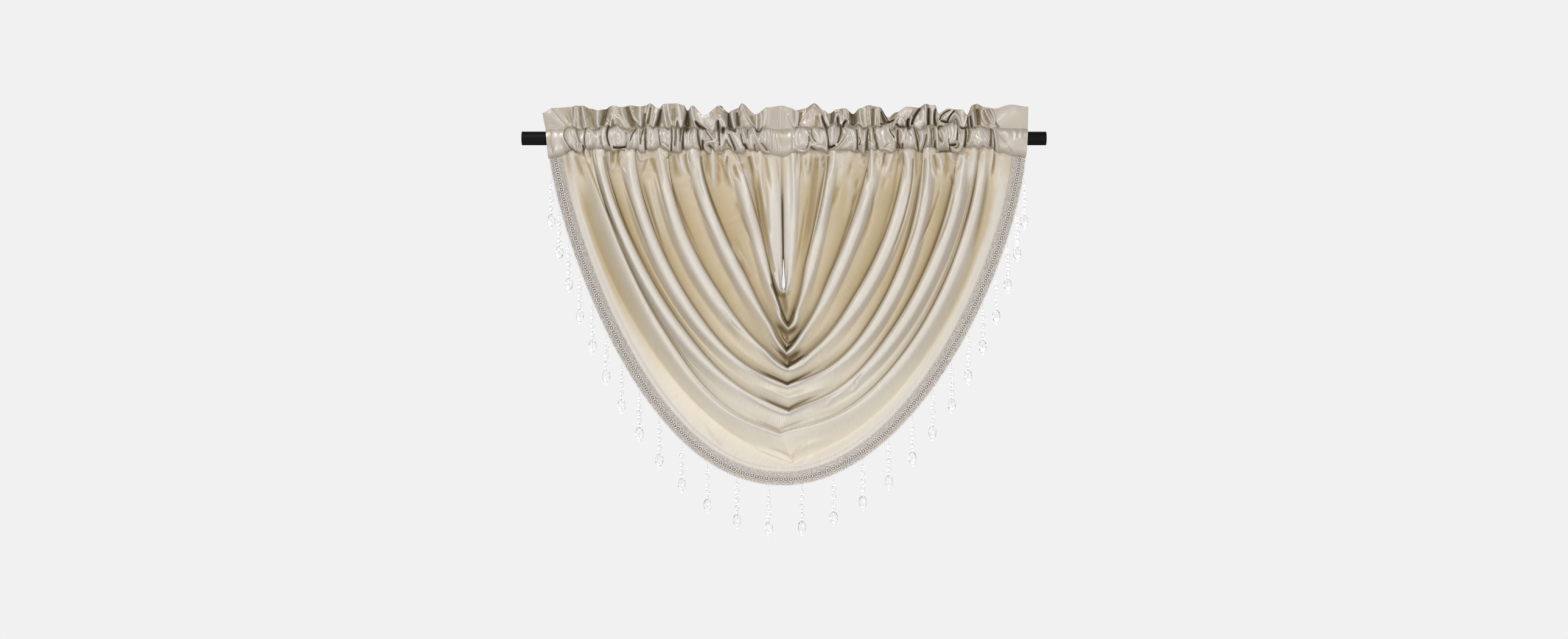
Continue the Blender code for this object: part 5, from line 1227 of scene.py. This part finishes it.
class Heading:
    """One gathered heading as a grid: a row for each section along it, a column for each line."""

    def __init__(self, creases, ruffle, ends, lean, stitch, edge, strokes, split):
        self.strokes = strokes
        count = int(round((ends[1] - ends[0]) / HEADING_STEP)) + 1
        x = np.linspace(ends[0], ends[1], count)
        lapping = np.maximum(0.0, 1.0 - np.abs(x - min(ends, key=abs)) / LAP_REACH)
        x = x + split * lapping
        inner = 1.0
        for inside in (x - creases[0][0], creases[-1][0] - x):
            inner = inner * smooth((inside + GATHERED_OUT) / GATHERED_EASE)
        top_x = x + lean[0] * end_share(x, ends)
        seam_x = seam_place(x, creases, ends, lean) + split * lapping
        self.x, self.inner = x[:, None], inner[:, None]
        self.wider = (END_LAP * (split < 0) * lapping)[:, None]
        self.top_x, self.seam_x = top_x[:, None], seam_x[:, None]
        self.top_z = soft_table(ruffle, top_x, 1)[:, None]
        self.top_y = soft_table(ruffle, top_x, 2)[:, None]
        self.stitch_z = on_photo(stitch, x)[:, None]
        self.low_z = on_photo(edge, self.seam_x)
        self.seam_y = seam_depth(self.seam_x)
        self.crumple = np.sin(self.x / 2.3 + 1.9 * np.sin(self.x / 6.1)) * self.inner

    def stretched(self, z, foot):
        """A section's heights, stretched from the rod up to the stitching and down to the edge."""
        return np.where(z > 0, z * (self.stitch_z / HEADER_STITCH), z * (self.low_z / foot))

    def as_raised(self, raised, crushed):
        """How far the cloth stands out as its painted sheen shows it."""
        return raised + CRUSHED_TINT * crushed + PLAIN_RAISED * (1 - self.inner)

    def ruffle_front(self):
        """The ruffle's front, from its top edge down to the stitching."""
        rise = np.linspace(1.0, 0.0, RUFFLE_ROWS)[None, :]
        x = self.x + (self.top_x - self.x) * rise
        z = self.stitch_z + (self.top_z - self.stitch_z) * rise
        raised, cut = folded(x, z, self.strokes)
        pinch, ridges, crumples = drawn_flat(z - self.stitch_z, RUFFLE_PINCH)
        raised, cut = raised * ridges, cut * (1 - CREVICES_LOST * pinch)
        y = self.top_y * RUFFLE_LEAN * rise ** 0.8 - 0.5 * RUFFLE_THICK
        y = y - RUFFLE_FOOT * (1 - rise ** 2) * self.inner
        y = y - GATHER_HIGH * gathers(self.x, 1.0) * pinch * self.inner
        y = y - CRUMPLE_HIGH * self.crumple * (1 - 0.5 * rise)
        crushed = crumpled(x, z) * self.inner * crumples
        y = round_rod(y - raised + RUFFLE_CREVICES * cut - RUFFLE_CRUSHED * crushed, z, -1)
        return np.stack([x, y - self.wider, z], -1), self.as_raised(raised, crushed), cut

    def pocket_front(self):
        """The pocket's front, from the stitching to its lower edge."""
        level = np.linspace(0.0, 1.0, POCKET_ROWS)[None, :]
        base_y, base_z = resampled(FRONT_SECTION, POCKET_ROWS).T[:, None]
        x = self.x + (self.seam_x - self.x) * level
        z = self.stretched(base_z, FRONT_SECTION[-1][1])
        raised, cut = folded(x, z, self.strokes)
        _, ridges, crumples = drawn_flat(z - self.stitch_z, POCKET_PINCH)
        hem, hem_ridges, hem_crumples = drawn_flat(z - self.low_z, POCKET_HEM)
        raised = raised * ridges * hem_ridges
        y = base_y + PLAIN_FULL * (1 - self.inner) * np.sin(math.pi * level) ** 0.5
        y = y + (self.seam_y - EDGE_FORWARD - FRONT_SECTION[-1][0]) * level ** 8
        y = y - GATHER_HIGH * gathers(self.x, 2.3) * hem * self.inner
        y = y - CRUMPLE_HIGH * self.crumple * np.sin(math.pi * level)
        crushed = crumpled(x + 40.0, z) * self.inner * crumples * hem_crumples
        y = y - raised + POCKET_CREVICES * cut - POCKET_CRUSHED * crushed
        y = round_rod(np.minimum(y, -POCKET_FORWARD), z, -1)
        return np.stack([x, y - self.wider, z], -1), self.as_raised(raised, crushed), cut

    def back(self):
        """The back, up from the seam to the stitching."""
        level = np.linspace(1.0, 0.0, BACK_ROWS)[None, :]
        base_y, base_z = resampled(BACK_SECTION, BACK_ROWS).T[:, None]
        z = self.stretched(base_z, BACK_SECTION[0][1])
        out = GATHER_HIGH * gathers(self.x, 3.1)
        out = out + 0.5 * np.sin(self.x / 5.2) * np.sin(self.x / 13.0 + 4.0 * level)
        y = base_y + (0.6 + out) * np.sin(math.pi * level) * self.inner
        y = round_rod(y + (self.seam_y + BACK_LOW) * np.clip(level, 0, 1) ** 6, z, 1)
        return np.stack([self.x + (self.seam_x - self.x) * level, y + self.wider, z], -1)

    def ruffle_back(self, front, back):
        """The ruffle's back, up from the stitching: it follows the front a little behind it."""
        layer = front[:, ::-1].copy()
        y, front_y = layer[..., 1], front[:, ::-1, 1]
        y = np.maximum(y + 2 * self.wider + RUFFLE_THICK, BACK_TOP)
        fade = np.linspace(0.0, 1.0, RUFFLE_ROWS)[None, :] ** 0.5
        y = y * fade + back[:, -1:, 1] * (1 - fade)
        y = np.maximum(y, front_y + 0.6 * RUFFLE_THICK)
        layer[..., 1] = round_rod(y, layer[..., 2], 1)
        return layer

    def piece(self, name):
        """The whole sheet, from its back seam over the ruffle to its front seam."""
        front, front_raised, front_cut = self.ruffle_front()
        pocket, pocket_raised, pocket_cut = self.pocket_front()
        back = self.back()
        behind = [back[:, :-1], self.ruffle_back(front, back)[:, :-1]]
        grid = np.concatenate([*behind, front[:, :-1], pocket], axis=1)
        unseen = np.ones((grid.shape[0], sum(part.shape[1] for part in behind)))
        raised = np.concatenate([BACK_RAISED * unseen, front_raised[:, :-1], pocket_raised], axis=1)
        cut = np.concatenate([0.0 * unseen, front_cut[:, :-1], pocket_cut], axis=1)
        # Painted sheen on what stands out, less of it in crevices, and painted shade in the crevices.
        tints = {
            "silver": np.clip((raised + 1.0) / 6.0 - cut / HEADING_DULL, 0, 1),
            "shade": np.clip(cut / HEADING_SHADE, 0, 1) ** 1.5,
        }
        return grid_piece(name, grid, tints, np.stack([lengths(grid, 0), lengths(grid, 1)], axis=-1))


# ------------------------------------------------------------------------- braid and beads

BAND_POINTS = 3001
BAND_OUT = 55.0  # the strip lies on the hanging cloth this far below the seam
BAND_AT_SEAM = 2.85  # in front of the rod's axis
CLOTH_PROUD = 1.0  # the cloth under the braid stands out this far


class HemBand:
    """Places on the strip along the hem, by distance along it and in from its outer edge."""

    def __init__(self):
        stations = np.linspace(-1.0, 1.0, BAND_POINTS)
        self.outer = self.lifted(stations, 0.0)
        self.inner = self.lifted(stations, BRAID_WIDTH)
        steps = np.linalg.norm(np.diff(self.outer, axis=0), axis=1)
        self.run = np.concatenate([[0.0], np.cumsum(steps)])
        self.length = self.run[-1]

    @staticmethod
    def lifted(stations, inset):
        """The middle of the braid's thickness over a line of the hem."""
        line = hem_line(stations, inset)
        top = seam_height(line[[0, -1], 0]) - SEAM_GAP
        level = np.where(stations < 0, top[0], top[1])
        z = np.minimum(line[:, 1], level)
        below = smooth((level - z) / BAND_OUT)
        y = -BAND_AT_SEAM * (1 - below) + (hanging(HEM_FORWARD, stations) - CLOTH_PROUD) * below
        return np.stack([line[:, 0], y - FIT_GAP - 0.5 * BRAID_THICK, z], 1)

    def place(self, run, inset, lift=0.0):
        """Points at these distances, lifted towards the viewer."""
        run, inset, lift = np.broadcast_arrays(run, inset, lift)
        outer, inner = (
            np.stack([np.interp(run, self.run, edge[:, k]) for k in range(3)], -1)
            for edge in (self.outer, self.inner)
        )
        points = outer + (inner - outer) * (inset / BRAID_WIDTH)[..., None]
        points[..., 1] -= lift
        return points

    def repeats(self, pitch):
        """The middles of what repeats along the whole hem, as a column, and their true pitch."""
        count = int(self.length / pitch)
        pitch = self.length / count
        return (np.arange(count) + 0.5)[:, None] * pitch, pitch


def tubes(paths, radius, sides, closed=False):
    """Points and faces of round cords along many paths of the same count of points."""
    paths = np.asarray(paths, float)
    many, count = paths.shape[:2]
    if closed:
        ahead = np.roll(paths, -1, axis=1) - np.roll(paths, 1, axis=1)
    else:
        ahead = np.gradient(paths, axis=1)
    ahead /= np.maximum(np.linalg.norm(ahead, axis=2), 1e-9)[..., None]
    front = np.zeros_like(ahead)
    front[..., 1] = -1.0
    side = np.cross(ahead, front)
    side /= np.maximum(np.linalg.norm(side, axis=2), 1e-9)[..., None]
    front = np.cross(side, ahead)
    turn = 2 * math.pi * np.arange(sides) / sides
    rings = paths[:, :, None] + radius * (
        np.cos(turn)[:, None] * front[:, :, None] + np.sin(turn)[:, None] * side[:, :, None]
    )
    index = np.arange(many * count * sides).reshape(many, count, sides)
    following = np.roll(index, -1, axis=1) if closed else index[:, 1:]
    index = index if closed else index[:, :-1]
    quads = np.stack([
        index, np.roll(index, -1, axis=2), np.roll(following, -1, axis=2), following,
    ], axis=-1)
    return rings.reshape(-1, 3), quads.reshape(-1, 4)


def joined(parts):
    """Several (points, faces) as one."""
    points, faces, start = [], [], 0
    for some_points, some_faces in parts:
        points.append(some_points)
        faces.append(some_faces + start)
        start += len(some_points)
    return np.concatenate(points), np.concatenate(faces)


def zigzag(band, inset, swing, pitch, lift, phase):
    """One yarn that runs along the hem from side to side of its line."""
    steps = int(band.length / pitch) * 4
    run = np.linspace(0.0, band.length, steps + 1)
    turn = 2 * math.pi * run / pitch + phase
    return band.place(run, inset + swing * np.sin(turn), lift + YARN_SWAY * np.cos(turn))[None]


def build_braid(band):
    """The woven trim's netted bands and scalloped edge."""
    parts = []
    for inset, swing, pitch, lift, half_turns, radius in YARNS:
        path = zigzag(band, inset, swing, pitch, lift, math.pi * half_turns)
        parts.append(tubes(path, radius, YARN_SIDES))
    middles, pitch = band.repeats(SCALLOP_PITCH)
    turn = np.linspace(0.0, math.pi, 7)
    run = middles - 0.5 * pitch * np.cos(turn)
    loops = band.place(run, SCALLOP_ROOT - SCALLOP_OUT * np.sin(turn), SCALLOP_LIFT)
    parts.append(tubes(loops, SCALLOP_RADIUS, 4))
    return plain_piece("braid_yarn", *joined(parts))


def build_chain(band):
    """The chain of linked rings along the trim's middle, each with a knot inside."""
    middles, pitch = band.repeats(RING_PITCH)
    turn = 2 * math.pi * np.arange(16) / 16
    rings = band.place(
        middles + RING_LONG * pitch * np.cos(turn), CHAIN_MIDDLE + RING_WIDE * np.sin(turn),
        RING_LIFT + RING_TILT * np.cos(turn),
    )
    turn = turn[::2]
    knots = band.place(
        middles + KNOT[0] * np.cos(turn), CHAIN_MIDDLE + KNOT[1] * np.sin(turn), KNOT_LIFT,
    )
    return plain_piece("braid_chain", *joined([
        tubes(rings, RING_CORD, 5, closed=True), tubes(knots, KNOT_CORD, 4, closed=True),
    ]))


def build_braid_ground(band):
    """The thin woven ground behind the braid's yarns, with painted shade behind the chain of rings."""
    run, inset = np.broadcast_arrays(
        np.linspace(0.0, band.length, 801)[:, None], np.linspace(GROUND_FROM, BRAID_WIDTH, 25),
    )
    away = np.abs(inset - CHAIN_MIDDLE)
    shade = 1.0 - smooth((away - GROUND_DARK[0]) / GROUND_DARK[1])
    grid = band.place(run, inset, GROUND_LIFT)
    return grid_piece("braid_ground", grid, {"shade": shade}, np.stack([run, inset], axis=-1))


def strand_roots():
    """Where the strands leave the braid's edge, evenly along the hem."""
    dense = np.linspace(-1.0, 1.0, 1601)
    outset = FIT_GAP + 0.5 * TAPE_WIDTH
    run = travelled(hem_line(dense, -outset))
    wanted = np.linspace(FIRST_STRAND, run[-1] - LAST_STRAND, STRANDS)
    return HemBand.lifted(np.interp(wanted, run, dense), -outset)


def bead(half_width, half_height, facets):
    """A cut bead: rings of points, each turned half a facet from the last."""
    points = []
    for n, (level, wide) in enumerate(BEAD_RINGS):
        for k in range(facets):
            turn = 2 * math.pi * (k + 0.5 * (n % 2)) / facets
            points.append((
                half_width * wide * math.cos(turn),
                half_width * wide * math.sin(turn),
                half_height * level,
            ))
    faces = []
    for n in range(len(BEAD_RINGS) - 1):
        for k in range(facets):
            a, b = n * facets + k, n * facets + (k + 1) % facets
            c, d = a + facets, b + facets
            faces += [(a, c, b), (b, c, d)] if n % 2 == 0 else [(a, c, d), (a, d, b)]
    top, foot = len(points), len(points) + 1
    points += [(0.0, 0.0, half_height), (0.0, 0.0, -half_height)]
    last = (len(BEAD_RINGS) - 1) * facets
    for k in range(facets):
        following = (k + 1) % facets
        faces += [(top, k, following), (foot, last + following, last + k)]
    return np.array(points), np.array(faces)


def build_beads():
    """The strands of cut glass beads, and the threads that they hang on."""
    sway = np.random.default_rng(7)
    glass, threads = [], []
    for root in strand_roots():
        lean = sway.normal(0.0, STRAND_LEAN, 2)
        for depth, half_width, half_height, facets in BEADS:
            points, faces = bead(half_width, half_height, facets)
            turn = sway.uniform(0.0, 2 * math.pi)
            c, s = math.cos(turn), math.sin(turn)
            x = c * points[:, 0] - s * points[:, 1] + root[0] + lean[0] * depth
            y = s * points[:, 0] + c * points[:, 1] + root[1] + lean[1] * depth
            glass.append((np.stack([x, y, points[:, 2] + root[2] - depth], 1), faces))
        depth = np.array(THREAD_DEPTHS)
        path = np.stack([root[0] + lean[0] * depth, root[1] + lean[1] * depth, root[2] - depth], 1)
        threads.append(tubes(path[None], THREAD_RADIUS, 4))
    beads = plain_piece("glass_beads", *joined(glass), smooth_shaded=False)
    return beads, plain_piece("bead_threads", *joined(threads))


# ---------------------------------------------------------------------------- materials

# Colours of the cloths and yarns. The tints multiply the satin's colour where it is clouded,
# streaked along its slubs, and low between its ribs.
# painted sheen: the silver that the panel's crests show
SHEEN_SILVER = (0.62, 0.585, 0.54, 1.0)
# the panel's own gold, set dark enough to stand in for the shade between its crests
GOLD = (0.44, 0.34, 0.18, 1.0)
# painted light: the paler cream of the lower cloth
LIT_CREAM = (0.69, 0.63, 0.515, 1.0)
# painted shade in the panel's pockets and crevices
SHADE_BROWN = (0.20, 0.14, 0.06, 1.0)
# painted sheen on the headings' raised folds
TAUPE_SHEEN = (0.60, 0.56, 0.52, 1.0)
# the headings' own colour, darkened to stand in for the shade between their raised folds
TAUPE_GOLD = (0.33, 0.27, 0.18, 1.0)
# painted shade in the headings' crevices
TAUPE_SHADE = (0.075, 0.053, 0.024, 1.0)
CLOUD_TINT = (0.80, 0.72, 0.56, 1.0)
STREAK_TINT = (0.55, 0.48, 0.36, 1.0)
RIB_TINT = (0.62, 0.56, 0.45, 1.0)
IVORY_YARN = (0.86, 0.82, 0.775, 1.0)
IVORY_FLECK = (0.58, 0.54, 0.49, 1.0)
GREY_YARN = (0.66, 0.62, 0.57, 1.0)
GREY_FLECK = (0.38, 0.345, 0.305, 1.0)
PALE_GROUND = (0.80, 0.755, 0.70, 1.0)
DARK_SPECK = (0.22, 0.19, 0.165, 1.0)
CHAIN_SHADOW = (0.30, 0.265, 0.23, 1.0)
THREAD = (0.80, 0.79, 0.77, 1.0)
THREAD_FLECK = (0.65, 0.63, 0.60, 1.0)
CLEAR = (0.97, 0.97, 0.98, 1.0)
BLACK = (0.001, 0.001, 0.0015, 1.0)
BLACK_GRAIN = (0.003, 0.003, 0.0035, 1.0)
FLOOR_PAPER = (0.88, 0.88, 0.88, 1.0)
SURROUND = (1.0, 1.0, 1.005, 1.0)

CLOUD_SCALE = 9.0  # of the satin's soft clouds
SLUB_SCALE = (520.0, 34.0, 1.0)  # along its length and across
RIB_SCALE = 150.0
RIB_SLANT = (0.0, 0.0, 0.22)  # in radians


def fill(tree, node, inputs):
    """Sets a node's sockets, each to a value or to another node's socket."""
    for socket, value in inputs:
        if isinstance(value, bpy.types.NodeSocket):
            tree.links.new(value, node.inputs[socket])
        else:
            node.inputs[socket].default_value = value


def add(tree, kind, inputs=(), **settings):
    """A new node with these settings; inputs are (socket, value or another node's socket)."""
    made = tree.nodes.new(kind)
    for key, value in settings.items():
        setattr(made, key, value)
    fill(tree, made, inputs)
    return made


def new_material(name):
    """A material, its node tree with a shader and an output, and the place on the object."""
    material = bpy.data.materials.new(name)
    material.use_nodes = True
    tree = material.node_tree
    place = add(tree, "ShaderNodeTexCoord").outputs["Object"]
    return material, tree, tree.nodes["Principled BSDF"], place


def mixed(tree, share, one, two, blend="MIX"):
    """The colour between two, as one output socket."""
    inputs = ((0, share), (6, one), (7, two))
    return add(tree, "ShaderNodeMix", inputs, data_type="RGBA", blend_type=blend).outputs[2]


def noise(tree, place, scale, detail=2.0):
    """Soft noise over these places."""
    inputs = (("Vector", place), ("Scale", scale), ("Detail", detail))
    return add(tree, "ShaderNodeTexNoise", inputs).outputs["Fac"]


def ranged(tree, value, low, high, start=0.0, stop=1.0, kind="LINEAR"):
    """A value between start and stop, taken to the range from low to high."""
    return add(tree, "ShaderNodeMapRange", (
        ("Value", value), ("From Min", start), ("From Max", stop), ("To Min", low), ("To Max", high),
    ), interpolation_type=kind).outputs[0]


def bumped(tree, height, strength, distance):
    """A surface's direction, bent by a height."""
    inputs = (("Height", height), ("Strength", strength), ("Distance", distance))
    return add(tree, "ShaderNodeBump", inputs).outputs[0]


def satin(name, silver, gold, lit_low_colour, deep, roughness, metal, weave=1.0):
    """Ribbed satin: gold, painted sheen on its crests, painted light paler low down, painted shade in
    pockets.
    """
    material, tree, shader, place = new_material(name)
    crest = add(tree, "ShaderNodeAttribute", attribute_name="silver").outputs["Fac"]
    hollow = add(tree, "ShaderNodeAttribute", attribute_name="shade").outputs["Fac"]
    cloth = add(tree, "ShaderNodeUVMap", uv_map="cloth").outputs["UV"]
    z = add(tree, "ShaderNodeSeparateXYZ", (("Vector", place),)).outputs["Z"]
    lowness = ranged(tree, z, 0.0, 1.0, PALE_FROM, PALE_TO, "SMOOTHSTEP")
    # Painted light turns the gold paler low down, painted sheen silvers the crests, painted shade
    # darkens the pockets.
    colour = mixed(tree, lowness, gold, lit_low_colour)
    colour = mixed(tree, crest, colour, silver)
    colour = mixed(tree, hollow, colour, deep)
    cloud = ranged(tree, noise(tree, place, CLOUD_SCALE), 0.0, 0.16, 0.3, 0.7)
    colour = mixed(tree, cloud, colour, CLOUD_TINT, "MULTIPLY")
    slubs = add(tree, "ShaderNodeMapping", (("Vector", cloth), ("Scale", SLUB_SCALE)))
    streak = noise(tree, slubs.outputs[0], 1.0, 3.0)
    colour = mixed(
        tree, ranged(tree, streak, 0.0, 0.18 * weave, 0.3, 0.75), colour, STREAK_TINT, "MULTIPLY",
    )
    slanted = add(tree, "ShaderNodeMapping", (("Vector", cloth), ("Rotation", RIB_SLANT)))
    ribs = add(tree, "ShaderNodeTexWave", (
        ("Vector", slanted.outputs[0]), ("Scale", RIB_SCALE), ("Distortion", 0.3),
        ("Detail", 1.0), ("Detail Scale", 0.4),
    ), bands_direction="X").outputs["Fac"]
    colour = mixed(tree, ranged(tree, ribs, 0.34 * weave, 0.0), colour, RIB_TINT, "MULTIPLY")
    height = add(tree, "ShaderNodeMath", ((0, ribs), (1, 0.25)), operation="MULTIPLY").outputs[0]
    height = add(tree, "ShaderNodeMath", ((0, height), (1, streak)), operation="ADD").outputs[0]
    grain = add(tree, "ShaderNodeTangent", direction_type="UV_MAP", uv_map="cloth").outputs[0]
    fill(tree, shader, (
        ("Base Color", colour), ("Metallic", metal), ("Specular IOR Level", 0.6),
        ("Roughness", ranged(tree, streak, roughness - 0.05, roughness + 0.08)),
        ("Normal", bumped(tree, height, 0.30 * weave, 0.0004)),
        ("Tangent", grain), ("Anisotropic", 0.45),
        ("Sheen Weight", 0.12), ("Sheen Roughness", 0.35),
    ))
    return material


def yarn(name, light, dark, scale, roughness, behind=None):
    """Matt silver yarn with darker flecks between its threads, and a darker ground where shaded."""
    material, tree, shader, place = new_material(name)
    fleck = noise(tree, place, scale)
    colour = mixed(tree, ranged(tree, fleck, 0.0, 1.0, 0.42, 0.66), light, dark)
    if behind:
        chain = add(tree, "ShaderNodeAttribute", attribute_name="shade")
        colour = mixed(tree, chain.outputs["Fac"], colour, behind)
    fill(tree, shader, (
        ("Base Color", colour), ("Roughness", roughness), ("Specular IOR Level", 0.6),
        ("Normal", bumped(tree, fleck, 0.5, 0.0005)),
    ))
    return material


def glass(name):
    """Clear cut acrylic with faint clouding."""
    material, tree, shader, place = new_material(name)
    fill(tree, shader, (
        ("Base Color", CLEAR), ("Transmission Weight", 1.0), ("IOR", 1.36),
        ("Roughness", ranged(tree, noise(tree, place, 260.0), 0.0, 0.10)),
    ))
    return material


def rod_paint():
    """Black powder coat with a fine grain."""
    material, tree, shader, place = new_material("rod_black_paint")
    grain = noise(tree, place, 900.0)
    fill(tree, shader, (
        ("Base Color", mixed(tree, grain, BLACK, BLACK_GRAIN)), ("Roughness", 0.55),
        ("Specular IOR Level", 0.12), ("Normal", bumped(tree, grain, 0.15, 0.0002)),
    ))
    return material


def paint(obj, material):
    """Gives an object this one material."""
    obj.data.materials.clear()
    obj.data.materials.append(material)


# -------------------------------------------------------------------------- stage and light

STAGE_MIDDLE = (0.0, 0.0, -0.35)
LIGHTS = (
    # name, place, what it points at, size, power
    ("key", (-0.9, -2.5, 1.9), STAGE_MIDDLE, 1.0, 68.5),
    ("fill", (1.9, -2.4, -0.3), STAGE_MIDDLE, 1.6, 27.5),
    ("low", (-0.1, -1.9, -1.05), (0.0, 0.0, -0.66), 0.85, 16.0),
    ("back", (0.4, 2.6, 1.2), STAGE_MIDDLE, 1.8, 46.0),
)
CAMERA_PLACE = (0.0, -4.02, -0.334)
CAMERA_LENS = 50.0
CAMERA_SENSOR = 36.0


def placed(name, data, place):
    """A new light or camera at its place."""
    obj = linked(name, data)
    obj.location = place
    return obj


def build_floor():
    """A pale round floor whose edge fades into the background."""
    sides = 96
    turn = [2 * math.pi * k / sides for k in range(sides)]
    rim = [(FLOOR_RADIUS * math.cos(t), FLOOR_RADIUS * math.sin(t), FLOOR_Z) for t in turn]
    faces = [(0, k + 1, (k + 1) % sides + 1) for k in range(sides)]
    mesh = bpy.data.meshes.new("studio_floor")
    mesh.from_pydata([(0.0, 0.0, FLOOR_Z), *rim], [], faces)
    floor = linked("studio_floor", mesh)
    material, tree, shader, place = new_material("floor_paper")
    flat = add(
        tree, "ShaderNodeVectorMath", ((0, place), (1, (1.0, 1.0, 0.0))), operation="MULTIPLY",
    )
    away = add(tree, "ShaderNodeVectorMath", ((0, flat.outputs[0]),), operation="LENGTH")
    fade = ranged(
        tree, away.outputs["Value"], 1.0, 0.0, 0.55 * FLOOR_RADIUS, 0.98 * FLOOR_RADIUS, "SMOOTHSTEP",
    )
    fill(tree, shader, (("Base Color", FLOOR_PAPER), ("Roughness", 0.9), ("Alpha", fade)))
    paint(floor, material)


def build_light():
    """A pale surround that adds little light of its own, and soft lights in front and above."""
    world = bpy.data.worlds.new("studio")
    bpy.context.scene.world = world
    world.use_nodes = True
    tree = world.node_tree
    ray = add(tree, "ShaderNodeLightPath")
    seen = add(tree, "ShaderNodeMath", (
        (0, ray.outputs["Is Camera Ray"]), (1, ray.outputs["Is Transmission Ray"]),
    ), operation="MAXIMUM")
    strength = ranged(tree, seen.outputs[0], SOFT_LIGHT, PALE_SURROUND)
    fill(tree, tree.nodes["Background"], (("Color", SURROUND), ("Strength", strength)))
    for name, place, aim, size, power in LIGHTS:
        light = bpy.data.lights.new(name, "AREA")
        light.shape = "SQUARE"
        light.size = size
        light.energy = power
        turned = (Vector(aim) - Vector(place)).to_track_quat("-Z", "Y").to_euler()
        placed(name, light, place).rotation_euler = turned


def build_camera():
    """The viewer stands level with the drape, square on to it."""
    camera = bpy.data.cameras.new("camera")
    camera.lens = CAMERA_LENS
    camera.sensor_width = CAMERA_SENSOR
    viewer = placed("camera", camera, CAMERA_PLACE)
    viewer.rotation_euler = (math.pi / 2, 0.0, 0.0)
    bpy.context.scene.camera = viewer


# ------------------------------------------------------------------------------- assembly

build_camera()
build_light()
build_floor()

panel_satin = satin("panel_satin", SHEEN_SILVER, GOLD, LIT_CREAM, SHADE_BROWN, 0.50, 0.12)
heading_satin = satin("heading_satin", TAUPE_SHEEN, TAUPE_GOLD, TAUPE_GOLD, TAUPE_SHADE, 0.40, 0.20, 0.8)

panel = build_panel()
paint(panel, panel_satin)
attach(panel, "root")
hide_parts("swag_panel")

for side, *places in (
    ("left", LEFT_CREASES, LEFT_RUFFLE, LEFT_HEADING, LEFT_LEAN, LEFT_STITCH, LEFT_EDGE,
     LEFT_FOLDS, LAP),
    ("right", RIGHT_CREASES, RIGHT_RUFFLE, RIGHT_HEADING, RIGHT_LEAN, RIGHT_STITCH, RIGHT_EDGE,
     RIGHT_FOLDS, -LAP),
):
    heading = Heading(*places).piece(side + "_heading_cloth")
    paint(heading, heading_satin)
    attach(heading, "root")
    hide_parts("heading_" + side)

band = HemBand()
braid = build_braid(band)
chain = build_chain(band)
ground = build_braid_ground(band)
paint(braid, yarn("silver_yarn", IVORY_YARN, IVORY_FLECK, 900.0, 0.45))
paint(chain, yarn("chain_yarn", GREY_YARN, GREY_FLECK, 900.0, 0.5))
paint(ground, yarn("ground_yarn", PALE_GROUND, DARK_SPECK, 520.0, 0.7, CHAIN_SHADOW))
beads, threads = build_beads()
paint(beads, glass("clear_glass"))
paint(threads, yarn("bead_thread", THREAD, THREAD_FLECK, 500.0, 0.6))
for piece, slot in (
    (braid, "braid"), (chain, "braid"), (ground, "braid"), (beads, "beads"), (threads, "braid"),
):
    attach(piece, "root")
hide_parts("hem_braid")
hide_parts("bead_fringe")

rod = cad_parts["rod"]
if rod.material_slots:
    rod.material_slots[0].material = rod_paint()
else:
    rod.data.materials.append(rod_paint())

bpy.context.scene.view_settings.view_transform = "Standard"
